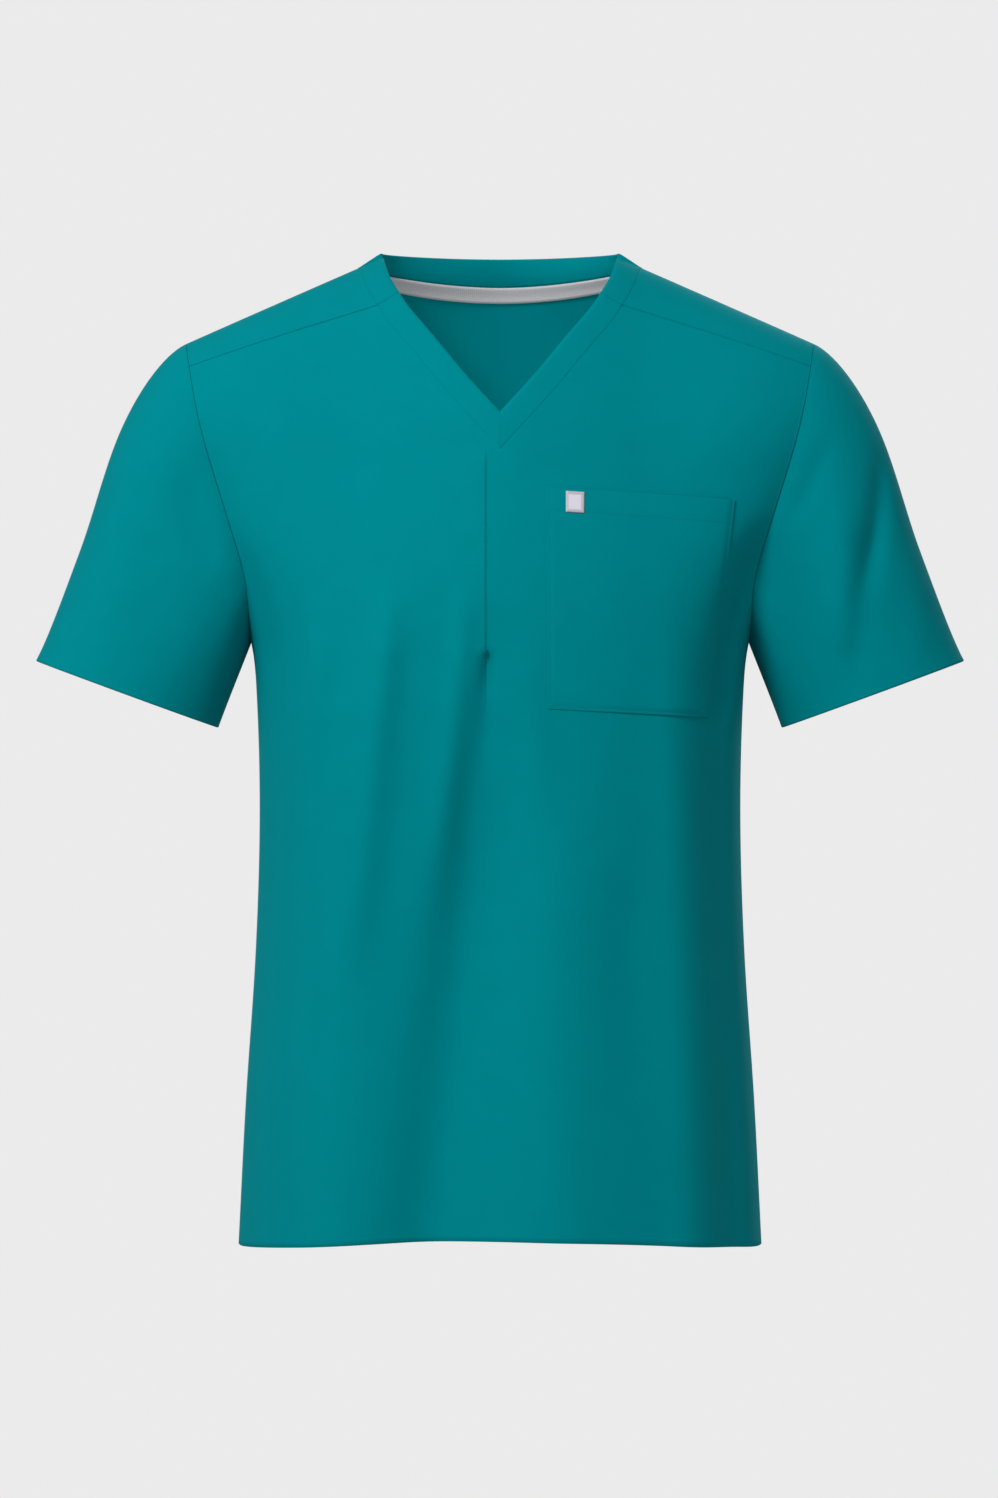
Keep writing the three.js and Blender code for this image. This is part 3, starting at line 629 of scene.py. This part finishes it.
def draw_in(grid, axis, at_end, seam, depth):
    """Adds two lines of points close to an edge of a grid and draws the edge in, as a seam does."""
    rows = np.moveaxis(grid, axis, 0)
    if not at_end:
        rows = rows[::-1]
    edge, before = rows[-1], rows[-2]
    cell = np.linalg.norm(edge - before, axis=-1, keepdims=True)
    near = np.clip(SEAM_NEAR / np.maximum(cell, 1e-9), 0.1, 0.35)
    far = np.clip(SEAM_FAR / np.maximum(cell, 1e-9), 0.5, 0.8)
    pull = seam_normals(seam, edge) * depth
    lines = [lerp(edge, before, far) + pull * 0.25, lerp(edge, before, near) - pull * 0.25, edge - pull]
    rows = np.concatenate([rows[:-1], np.array(lines)])
    if not at_end:
        rows = rows[::-1]
    return np.moveaxis(rows, 0, axis)


def lengths_along(grid, axis):
    step = np.linalg.norm(np.diff(grid, axis=axis), axis=-1)
    start = np.zeros_like(np.take(step, [0], axis=axis))
    return np.concatenate([start, np.cumsum(step, axis=axis)], axis=axis)


def cloth_uv(grid, middle=0, rise=None):
    """Lengths across and along the cloth, from its middle column and first row."""
    across = lengths_along(grid, 1)
    across = across - across[:, middle : middle + 1]
    along = lengths_along(grid, 0)
    if rise is not None:
        along = along + rise[None, :]
    return np.stack([across, along], axis=-1)


def build_mesh(name, grids, uvs, away):
    """One mesh from grids of points, seams between them merged, with lengths of cloth as its UV map."""
    points, faces, face_uv = [], [], []
    start = 0
    for grid, uv in zip(grids, uvs):
        rows, columns = grid.shape[:2]
        index = start + np.arange(rows * columns).reshape(rows, columns)
        corners = [index[:-1, :-1], index[:-1, 1:], index[1:, 1:], index[1:, :-1]]
        quad = np.stack(corners, axis=-1).reshape(-1, 4)
        faces.append(quad if facing(grid, away(grid))[1] > 0 else quad[:, ::-1])
        points.append(grid.reshape(-1, 3))
        face_uv.append(uv.reshape(-1, 2))
        start += rows * columns
    points = np.concatenate(points) + np.array([0, 0, REST_BELOW_TOP])
    faces = np.concatenate(faces)
    flat_uv = np.concatenate(face_uv)
    mesh = bpy.data.meshes.new(name)
    mesh.from_pydata(points.tolist(), [], faces.tolist())
    layer = mesh.uv_layers.new(name="cloth")
    layer.data.foreach_set("uv", flat_uv[faces.reshape(-1)].astype(np.float32).reshape(-1))
    work = bmesh.new()
    work.from_mesh(mesh)
    bmesh.ops.remove_doubles(work, verts=work.verts, dist=2e-5)
    work.to_mesh(mesh)
    work.free()
    mesh.polygons.foreach_set("use_smooth", [True] * len(mesh.polygons))
    piece = bpy.data.objects.new(name, mesh)
    bpy.context.scene.collection.objects.link(piece)
    return piece


def thicken(piece, thickness=CLOTH):
    """Turns a sheet into cloth of a thickness, inward from its outside."""
    solid = piece.modifiers.new("cloth", "SOLIDIFY")
    solid.thickness = thickness
    solid.offset = -1
    return piece


def turned_hem(grid, away, depth):
    """A sheet with its first edge turned up inside by a depth, from the turned end down and up again."""
    normals = facing(grid, away(grid))[0]
    length = lengths_along(grid, 0).mean(axis=1)
    count = int(np.searchsorted(length, depth))
    inner = grid[: count + 1] - normals[: count + 1] * HEM_INSET
    downward = unit(grid[0] - grid[1])
    edge = grid[0] - normals[0] * HEM_INSET * 0.5 + downward * HEM_INSET * 0.35
    return np.concatenate([inner[::-1], edge[None], grid])


def panel(name, is_front):
    """The front or back, with its hem turned up inside and its edges drawn in at the seams."""
    grids = PANELS[is_front]
    middle = MIDDLE[is_front]
    whole = grids["whole"]
    whole = draw_in(whole, 1, False, OUTLINE_SEAMS[-1], ARM_GROOVE)
    whole = draw_in(whole, 1, True, OUTLINE_SEAMS[1], ARM_GROOVE)
    middle += 2
    halves = {}
    for side in (1, -1):
        half = draw_in(grids[side], 1, True, OUTLINE_SEAMS[side], ARM_GROOVE)
        half = draw_in(half, 0, True, SHOULDER_SEAMS[side], ARM_GROOVE)
        half[2:, 0] -= facing(half, away_from_body(half))[0][2:, 0] * NECK_GROOVE
        close = NECK_NEAR * smoothstep(np.arange(len(half)), 0, 2)[:, None, None]
        beside = lerp(half[:, :1], half[:, 1:2], close)
        half = np.concatenate([half[:, :1], beside, half[:, 1:]], axis=1)
        halves[side] = half
    full = turned_hem(whole, away_from_body, HEM_DEPTH)
    uv = cloth_uv(full, middle)
    rise = uv[-1, :, 1]
    left_rise = rise[middle:]
    right_rise = rise[: middle + 1][::-1]
    left_uv = cloth_uv(halves[1], 0, np.insert(left_rise, 1, left_rise[0]))
    right_uv = cloth_uv(halves[-1], 0, np.insert(right_rise, 1, right_rise[0]))
    left_uv[..., 0] += np.abs(halves[1][:, :1, 0])
    right_uv[..., 0] = -right_uv[..., 0] - np.abs(halves[-1][:, :1, 0])
    piece = build_mesh(name, [full, halves[1], halves[-1]], [uv, left_uv, right_uv], away_from_body)
    return thicken(piece)


def sleeve(name, side):
    grid = draw_in(SLEEVES[side], 0, False, OUTLINE_SEAMS[side], -SLEEVE_PROUD)
    full = turned_hem(grid[::-1], away_from_arm, CUFF_DEPTH)
    return thicken(build_mesh(name, [full], [cloth_uv(full)], away_from_arm))


# Profile of the folded neckband: share of the width from seam to edge, and height off the cloth
BAND_PROFILE = [
    (0.0, -NECK_GROOVE),
    (0.04, 0.0),
    (0.15, 0.0001),
    (0.5, 0.0002),
    (0.8, 0.0002),
    (0.95, 0.0000),
    (1.0, -0.0006),
    (1.0, -0.0013),
    (0.95, -0.0018),
    (0.5, -0.0020),
    (0.05, -0.0020),
    (0.0, -0.0012),
]


# Lines beside the mitre at the V, as shares of the way to the next column
MITRE_SHARES = (0.03, 0.10, 0.30, 0.60)


def band_grid(ways, side):
    """Rows across the folded band, columns along it."""
    places = [neckline_at(float(way)) for way in ways]
    seam = np.array([shoulder_points(np.array(x), np.array(wrap)) for x, wrap, _ in places])
    edge = np.array([point for _, _, point in places])
    flat = np.array([lerp(seam, edge, share) for share in (0.0, 0.5, 1.0)])
    normal = facing(flat, away_from_body(flat))[0][1]
    if ways[0] == 0:
        normal[0, 0] = 0
    rows = [lerp(seam, edge, share) + normal * height for share, height in BAND_PROFILE]
    return np.array(rows) * np.array([side, 1, 1])


def away_from_band(grid):
    """Outward for a folded band, judged on the rows of its outer layer."""
    away = away_from_body(grid)
    away[len(BAND_PROFILE) // 2 :] = 0
    return away


def front_band(name, side):
    ways = np.linspace(0, FORWARD_SEAM_NECK, FRONT_NECK_ROWS * FINE + 1)
    grid = band_grid(ways, side)
    grid[:, 0, 0] = 0
    beside_mitre = [lerp(grid[:, :1], grid[:, 1:2], share) for share in MITRE_SHARES]
    grid = np.concatenate([grid[:, :1], *beside_mitre, grid[:, 1:]], axis=1)
    return thicken(build_mesh(name, [grid], [cloth_uv(grid)], away_from_band))


def back_band(name):
    over = np.linspace(FORWARD_SEAM_NECK, 1, OVER_RIDGE_ROWS * FINE + 1)
    behind = np.linspace(1, 2, BACK_NECK_ROWS * FINE + 1)[1:]
    left = band_grid(np.concatenate([over, behind]), 1)
    left[:, -1, 0] = 0
    right = (left * np.array([-1, 1, 1]))[:, ::-1]
    grid = np.concatenate([left, right[:, 1:]], axis=1)
    return thicken(build_mesh(name, [grid], [cloth_uv(grid)], away_from_band))


def pocket_place(across, down):
    top = lerp(np.array(POCKET["top_inner"]), np.array(POCKET["top_outer"]), across[..., None])
    low = lerp(np.array(POCKET["low_inner"]), np.array(POCKET["low_outer"]), across[..., None])
    place = lerp(top, low, down[..., None])
    return place[..., 0], place[..., 1]


def front_normal(x, height):
    step = 0.002
    slope_x = torso_depth(x + step, height, True) - torso_depth(x - step, height, True)
    slope_z = torso_depth(x, height + step, True) - torso_depth(x, height - step, True)
    return unit(stack(slope_x / (2 * step), -1.0, slope_z / (2 * step)))


def pocket_points(across, down, lift):
    """Places over the pocket, standing off the front by a lift."""
    x, height = pocket_place(across, down)
    points = stack(x, torso_depth(x, height, True), height)
    return points + front_normal(x, height) * np.asarray(lift)[..., None]


def rim_spacing(size, count):
    """Shares of a length, closer together at both ends."""
    close = np.array([0, 0.0004, 0.0009, 0.0015, 0.0021, 0.0027, 0.0034]) / size
    between = np.linspace(close[-1], 1 - close[-1], count)
    return np.concatenate([close[:-1], between, 1 - close[:-1][::-1]])


def pocket_lift(across, down):
    """Pressed, stitched edges on three sides, and a doubled hem that gapes a little at the top."""
    side = np.minimum(across, 1 - across) * POCKET_WIDTH
    low = (1 - down) * POCKET_DEPTH
    rim = np.minimum(side, low)
    sewn = smoothstep(rim, 0.0018, 0.0060)
    groove = np.exp(-(((rim - 0.0021) / 0.0007) ** 2))
    hem_step = 1 - smoothstep(down * POCKET_DEPTH, POCKET_HEM - 0.0006, POCKET_HEM + 0.0006)
    gape = (1 - smoothstep(down, 0, 0.2)) * np.sin(math.pi * np.clip(across, 0, 1))
    edge = smoothstep(rim, -0.0002, 0.0006)
    proud = POCKET_RIM * (0.3 + 0.7 * smoothstep(across, 0.0, 0.9))
    puff = POCKET_PUFF * (0.3 + 0.7 * smoothstep(across, 0.0, 0.9))
    raised = 0.0003 + proud * edge + puff * sewn - 0.00012 * groove
    return raised + (0.0001 * hem_step + 0.0006 * gape) * edge


def pocket(name):
    across, down = np.meshgrid(rim_spacing(POCKET_WIDTH, 90), rim_spacing(POCKET_DEPTH, 104)[::-1])
    grid = pocket_points(across, down, pocket_lift(across, down))
    return thicken(build_mesh(name, [grid], [cloth_uv(grid)], away_from_body))


def tab_lift(across, down):
    """The label's face, with edges that turn down to the pocket."""
    share_across = (across - TAB["left"]) / (TAB["right"] - TAB["left"])
    share_down = (down - TAB["top"]) / (TAB["bottom"] - TAB["top"])
    rim_across = np.minimum(share_across, 1 - share_across) * TAB_WIDTH
    rim_down = np.minimum(share_down, 1 - share_down) * TAB_DEPTH
    turned = np.sqrt(smoothstep(np.minimum(rim_across, rim_down), -0.0001, TAB_EDGE))
    return pocket_lift(across, down) + 0.0004 + 0.0007 * turned


def pocket_tab(name):
    across, down = np.meshgrid(
        lerp(TAB["left"], TAB["right"], rim_spacing(TAB_WIDTH, 12)),
        lerp(TAB["bottom"], TAB["top"], rim_spacing(TAB_DEPTH, 14)),
    )
    grid = pocket_points(across, down, tab_lift(across, down))
    return thicken(build_mesh(name, [grid], [cloth_uv(grid)], away_from_body), 0.0005)


def below_neckline(way, length):
    """A place a measured length below the neckline's seam, on the back panel."""
    x, wrap, _ = neckline_at(way)
    turn = (2 - way) * math.pi * 0.5
    start = shoulder_points(np.array(x), np.array(wrap))
    reach = length
    for _ in range(6):
        tried = below_by(x, wrap, turn, reach)
        reach *= abs(length) / max(np.linalg.norm(tried - start), 1e-9)
    return below_by(x, wrap, turn, reach)


def below_by(x, wrap, turn, reach):
    away = np.array(x + reach * math.sin(turn))
    return shoulder_points(away, np.array(wrap - reach * 2.53 * math.cos(turn)))


def neck_tape(name):
    """The tape over the neckband's seam inside the back."""
    ways = np.linspace(TAPE_END, 2, 60)
    rows = []
    for length in np.linspace(TAPE_WIDTH, TAPE_BELOW_SEAM, 8):
        left = np.array([below_neckline(way, length) for way in ways])
        left[-1, 0] = 0
        right = (left * np.array([-1, 1, 1]))[::-1]
        rows.append(np.concatenate([left, right[1:]]))
    grid = np.array(rows)
    inside = TAPE_INSIDE + TAPE_OVER_BAND * smoothstep(np.linspace(0, 1, len(rows)), 0.3, 1)
    grid = grid - facing(grid, away_from_body(grid))[0] * inside[:, None, None]
    return thicken(build_mesh(name, [grid], [cloth_uv(grid)], away_from_body), 0.0005)


# One stitch, as a bead of thread: share of its length, and share of the thread's radius
STITCH_RINGS = [(0.0, 0.3), (0.12, 0.85), (0.5, 1.0), (0.88, 0.85), (1.0, 0.3)]
STITCH_SIDES = 6


def sew(name, lines, long=STITCH_LONG, gap=STITCH_GAP, thread=THREAD, sink=0.3):
    """Stitches along lines of points, each line with its normals, partly sunk in the cloth."""
    points, faces = [], []
    turns = np.arange(STITCH_SIDES) * math.tau / STITCH_SIDES
    shares = np.array([share for share, _ in STITCH_RINGS])
    arch = np.array([radius for _, radius in STITCH_RINGS])[:, None]
    rings = len(STITCH_RINGS)
    for path, normals in lines:
        length = np.concatenate([[0], np.cumsum(np.linalg.norm(np.diff(path, axis=0), axis=-1))])
        count = max(int((length[-1] + gap) / (long + gap)), 1)
        pitch = (length[-1] + gap) / count
        for k in range(count):
            at = k * pitch + shares * (pitch - gap)
            centre = stack(*[np.interp(at, length, path[:, axis]) for axis in range(3)])
            up = unit(stack(*[np.interp(at, length, normals[:, axis]) for axis in range(3)]))
            beside = unit(np.cross(up, unit(centre[-1] - centre[0])))
            centre = centre + up * thread * (arch * (1 - sink) - 0.5)
            start = len(points)
            for ring in range(rings):
                circle = np.cos(turns)[:, None] * beside[ring] + np.sin(turns)[:, None] * up[ring]
                points.extend((centre[ring] + circle * thread * arch[ring]).tolist())
            for ring in range(rings - 1):
                for s in range(STITCH_SIDES):
                    a = start + ring * STITCH_SIDES + s
                    b = start + ring * STITCH_SIDES + (s + 1) % STITCH_SIDES
                    faces.append((a, b, b + STITCH_SIDES, a + STITCH_SIDES))
            faces.append(tuple(start + s for s in reversed(range(STITCH_SIDES))))
            last = start + (rings - 1) * STITCH_SIDES
            faces.append(tuple(last + s for s in range(STITCH_SIDES)))
    mesh = bpy.data.meshes.new(name)
    mesh.from_pydata((np.array(points) + np.array([0, 0, REST_BELOW_TOP])).tolist(), [], faces)
    mesh.polygons.foreach_set("use_smooth", [True] * len(mesh.polygons))
    piece = bpy.data.objects.new(name, mesh)
    bpy.context.scene.collection.objects.link(piece)
    return piece


def on_pocket(across, down):
    """A line of sewing on the pocket from shares of it, with its normals."""
    across, down = np.broadcast_arrays(np.asarray(across, dtype=float), np.asarray(down, dtype=float))
    points = pocket_points(across, down, pocket_lift(across, down))
    return points, front_normal(*pocket_place(across, down))


def on_tab(across, down):
    across, down = np.broadcast_arrays(np.asarray(across, dtype=float), np.asarray(down, dtype=float))
    points = pocket_points(across, down, tab_lift(across, down))
    return points, front_normal(*pocket_place(across, down))


def on_front(x, height):
    x, height = np.broadcast_arrays(np.asarray(x, dtype=float), np.asarray(height, dtype=float))
    return stack(x, torso_depth(x, height, True), height), front_normal(x, height)


def node_input(tree, socket, value):
    if isinstance(value, bpy.types.NodeSocket):
        tree.links.new(value, socket)
    else:
        socket.default_value = value


def math_node(tree, operation, a, b=0.0, c=0.0):
    node = tree.nodes.new("ShaderNodeMath")
    node.operation = operation
    for socket, value in zip(node.inputs, (a, b, c)):
        node_input(tree, socket, value)
    return node.outputs[0]


def new_material(name, roughness, specular=0.3, tint=(1, 1, 1)):
    material = bpy.data.materials.new(name)
    material.use_nodes = True
    tree = material.node_tree
    shader = tree.nodes["Principled BSDF"]
    shader.inputs["Roughness"].default_value = roughness
    shader.inputs["Specular IOR Level"].default_value = specular
    shader.inputs["Specular Tint"].default_value = (*tint, 1)
    return material, tree, shader


def cloth_coordinates(tree):
    """Places on the cloth as a vector, and the lengths across and along it, in metres."""
    source = tree.nodes.new("ShaderNodeUVMap")
    source.uv_map = "cloth"
    parts = tree.nodes.new("ShaderNodeSeparateXYZ")
    tree.links.new(source.outputs["UV"], parts.inputs[0])
    return source.outputs["UV"], parts.outputs["X"], parts.outputs["Y"]


def tone(tree, factor, colour, dark, light):
    """The colour between two strengths of it."""
    mix = tree.nodes.new("ShaderNodeMix")
    mix.data_type = "RGBA"
    tree.links.new(factor, mix.inputs[0])
    mix.inputs[6].default_value = (*[channel * dark for channel in colour], 1)
    mix.inputs[7].default_value = (*[channel * light for channel in colour], 1)
    return mix.outputs[2]


def noise(tree, vector, scale, detail=3.0):
    node = tree.nodes.new("ShaderNodeTexNoise")
    node.inputs["Scale"].default_value = scale
    node.inputs["Detail"].default_value = detail
    tree.links.new(vector, node.inputs["Vector"])
    return node.outputs["Fac"]


def bump(tree, shader, height, distance, strength):
    node = tree.nodes.new("ShaderNodeBump")
    node.inputs["Strength"].default_value = strength
    node.inputs["Distance"].default_value = distance
    tree.links.new(height, node.inputs["Height"])
    tree.links.new(node.outputs["Normal"], shader.inputs["Normal"])


YARN = 0.00042


def woven_cloth(name, colour):
    """Matt close-woven cloth: a fine diagonal twill, uneven yarns and a slight soft mottling."""
    material, tree, shader = new_material(name, 0.9, 0.10, (0.0, 0.8, 0.85))
    vector, across, along = cloth_coordinates(tree)
    slant = math_node(tree, "MULTIPLY_ADD", along, 0.5, across)
    rib = math_node(tree, "SINE", math_node(tree, "MULTIPLY", slant, math.tau / YARN))
    pick = math_node(tree, "SINE", math_node(tree, "MULTIPLY", along, math.tau / (YARN * 0.8)))
    weave = math_node(tree, "MULTIPLY_ADD", rib, 0.6, math_node(tree, "MULTIPLY", pick, 0.4))
    height = math_node(tree, "MULTIPLY_ADD", noise(tree, vector, 700.0, 2.0), 1.2, weave)
    mottle = math_node(tree, "MULTIPLY_ADD", noise(tree, vector, 40.0, 4.0), 0.5, 0.25)
    depth = math_node(tree, "MULTIPLY_ADD", weave, 0.22, mottle)
    tree.links.new(tone(tree, depth, colour, 0.90, 1.08), shader.inputs["Base Color"])
    shader.inputs["Sheen Weight"].default_value = 0.10
    shader.inputs["Sheen Roughness"].default_value = 0.5
    shader.inputs["Sheen Tint"].default_value = (0.0, 0.8, 0.9, 1)
    bump(tree, shader, height, 0.00006, 0.55)
    return material


def herringbone_tape(name, colour):
    """Pale woven tape with a fine herringbone."""
    material, tree, shader = new_material(name, 0.72, 0.3)
    _, across, along = cloth_coordinates(tree)
    slant = math_node(tree, "ADD", along, math_node(tree, "PINGPONG", across, 0.0024))
    wave = math_node(tree, "SINE", math_node(tree, "MULTIPLY", slant, math.tau / 0.0012))
    shade = math_node(tree, "MULTIPLY_ADD", wave, 0.5, 0.5)
    tree.links.new(tone(tree, shade, colour, 0.86, 1.06), shader.inputs["Base Color"])
    shader.inputs["Sheen Weight"].default_value = 0.1
    bump(tree, shader, wave, 0.00010, 0.6)
    return material


def woven_label(name, colour):
    """Satin-woven label: fine ribs, and a little lighter inside its border."""
    material, tree, shader = new_material(name, 0.55, 0.4)
    vector, across, along = cloth_coordinates(tree)
    rib = math_node(tree, "SINE", math_node(tree, "MULTIPLY", along, math.tau / 0.00035))
    off_across = math_node(tree, "ABSOLUTE", math_node(tree, "SUBTRACT", across, TAB_WIDTH / 2))
    off_along = math_node(tree, "ABSOLUTE", math_node(tree, "SUBTRACT", along, TAB_DEPTH / 2))
    level = math_node(tree, "MULTIPLY", off_along, TAB_WIDTH / TAB_DEPTH)
    inside = math_node(tree, "MULTIPLY_ADD", math_node(tree, "MAXIMUM", off_across, level), -900.0, 4.6)
    inside.node.use_clamp = True
    shade = math_node(tree, "MULTIPLY_ADD", noise(tree, vector, 1500.0, 1.0), 0.3, inside)
    tree.links.new(tone(tree, shade, colour, 0.92, 1.35), shader.inputs["Base Color"])
    bump(tree, shader, rib, 0.00005, 0.5)
    return material


def sewing_thread(name, colour):
    """Twisted sewing thread."""
    material, tree, shader = new_material(name, 0.62, 0.3, (0.3, 0.85, 0.9))
    coordinates = tree.nodes.new("ShaderNodeTexCoord")
    fleck = noise(tree, coordinates.outputs["Object"], 4000.0, 1.0)
    tree.links.new(tone(tree, fleck, colour, 0.85, 1.1), shader.inputs["Base Color"])
    return material


def dress(piece, material, slot, *nodes):
    """Gives a finished piece its material and its place on the frame, and hides the imported parts it stands
    for.
    """
    piece.data.materials.append(material)
    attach(piece, "root")
    if nodes:
        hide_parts(*nodes)
    return piece


teal_cloth = woven_cloth("teal_cloth", TEAL)
grey_tape = herringbone_tape("grey_tape", TAPE_GREY)
label_weave = woven_label("label_weave", LABEL_GREY)
teal_thread = sewing_thread("teal_thread", THREAD_TEAL)
pale_thread = sewing_thread("pale_thread", LABEL_GREY)

dress(panel("front_panel", True), teal_cloth, "teal_cloth", "front")
dress(panel("back_panel", False), teal_cloth, "teal_cloth", "back")
for side, word in ((1, "left"), (-1, "right")):
    dress(sleeve(f"sleeve_{word}_cloth", side), teal_cloth, "teal_cloth", f"sleeve_{word}")
    dress(front_band(f"neckband_{word}_cloth", side), teal_cloth, "teal_cloth", f"neckband_{word}")
dress(back_band("neckband_back_cloth"), teal_cloth, "teal_cloth", "neckband_back")
dress(neck_tape("neck_tape_cloth"), grey_tape, "grey_tape", "neck_tape")
dress(pocket("chest_pocket_cloth"), teal_cloth, "teal_cloth", "chest_pocket")
dress(pocket_tab("pocket_label_cloth"), label_weave, "grey_tape", "pocket_label")

# Sewing that shows: the pocket's edges and hem, the pleat with its bar tack, and the label
INSET = 0.0021
side_share = INSET / POCKET_WIDTH
low_share = 1 - INSET / POCKET_DEPTH
hem_share = (POCKET_HEM - 0.0012) / POCKET_DEPTH
down_line = np.linspace(0.004, low_share, 80)
across_line = np.linspace(side_share, 1 - side_share, 70)
pocket_lines = [
    on_pocket(side_share, down_line),
    on_pocket(across_line, low_share),
    on_pocket(1 - side_share, down_line),
    on_pocket(across_line, hem_share),
]
dress(sew("pocket_stitches", pocket_lines, sink=0.72), teal_thread, "teal_cloth")
pleat_line = on_front(PLEAT["x"] - 0.0014, np.linspace(PLEAT["top"] - 0.010, PLEAT["bottom"] + 0.004, 60))
dress(sew("pleat_stitches", [pleat_line], sink=0.5), teal_thread, "teal_cloth")
tack_line = np.linspace(PLEAT["x"] - 0.0022, PLEAT["x"] + 0.0018, 6)
tack_lines = [on_front(tack_line, PLEAT["bottom"] + 0.00055 * row) for row in range(5)]
dress(sew("pleat_tack", tack_lines, long=0.0038, sink=0.2), teal_thread, "teal_cloth")
tab_line = np.linspace(TAB["left"] + 0.010, TAB["right"] - 0.010, 16)
tab_lines = [on_tab(tab_line, TAB["top"] + 0.008), on_tab(tab_line, TAB["bottom"] - 0.008)]
dress(sew("label_stitches", tab_lines, long=0.0009, gap=0.0004, thread=0.00022), pale_thread, "grey_tape")


# Studio
FRAME_HEIGHT = 1.1385
CAMERA_FAR = 5.5
CAMERA_HEIGHT = -0.377 + REST_BELOW_TOP
TARGET = (0, 0, -0.36)


def add_camera():
    data = bpy.data.cameras.new("camera")
    data.sensor_width = 36.0
    data.lens = data.sensor_width * CAMERA_FAR / FRAME_HEIGHT
    camera = bpy.data.objects.new("camera", data)
    camera.location = (-0.0008, -CAMERA_FAR, CAMERA_HEIGHT)
    camera.rotation_euler = (math.pi / 2, 0, 0)
    bpy.context.scene.collection.objects.link(camera)
    bpy.context.scene.camera = camera


def add_area_light(name, place, size, power, target=TARGET):
    data = bpy.data.lights.new(name, "AREA")
    data.shape = "DISK"
    data.size = size
    data.energy = power
    light = bpy.data.objects.new(name, data)
    light.location = place
    aim = Vector(target) - Vector(place)
    light.rotation_euler = aim.to_track_quat("-Z", "Y").to_euler()
    light.visible_camera = False
    bpy.context.scene.collection.objects.link(light)


def set_world():
    """A pale grey studio, brighter to the camera than it lights the cloth."""
    world = bpy.data.worlds.new("studio")
    world.use_nodes = True
    bpy.context.scene.world = world
    tree = world.node_tree
    seen = tree.nodes["Background"]
    seen.inputs["Color"].default_value = (1, 1, 1, 1)
    seen.inputs["Strength"].default_value = 0.831
    glow = tree.nodes.new("ShaderNodeBackground")
    glow.inputs["Color"].default_value = (1, 1, 1, 1)
    glow.inputs["Strength"].default_value = 0.335
    paths = tree.nodes.new("ShaderNodeLightPath")
    mix = tree.nodes.new("ShaderNodeMixShader")
    tree.links.new(paths.outputs["Is Camera Ray"], mix.inputs[0])
    tree.links.new(glow.outputs[0], mix.inputs[1])
    tree.links.new(seen.outputs[0], mix.inputs[2])
    tree.links.new(mix.outputs[0], tree.nodes["World Output"].inputs[0])


add_camera()
set_world()
add_area_light("key", (-1.62, -2.62, 2.1), 1.1, 107)
add_area_light("side", (-3.3, -1.3, 0.5), 1.6, 17)
add_area_light("fill", (1.1, -3.8, -0.6), 1.8, 23)
add_area_light("back", (1.2, 3.2, 1.4), 1.8, 60)
add_area_light("inside", (0.02, -0.066, -0.165), 0.06, 0.11, (0.07, 0.09, -0.04))
bpy.context.scene.view_settings.view_transform = "Standard"
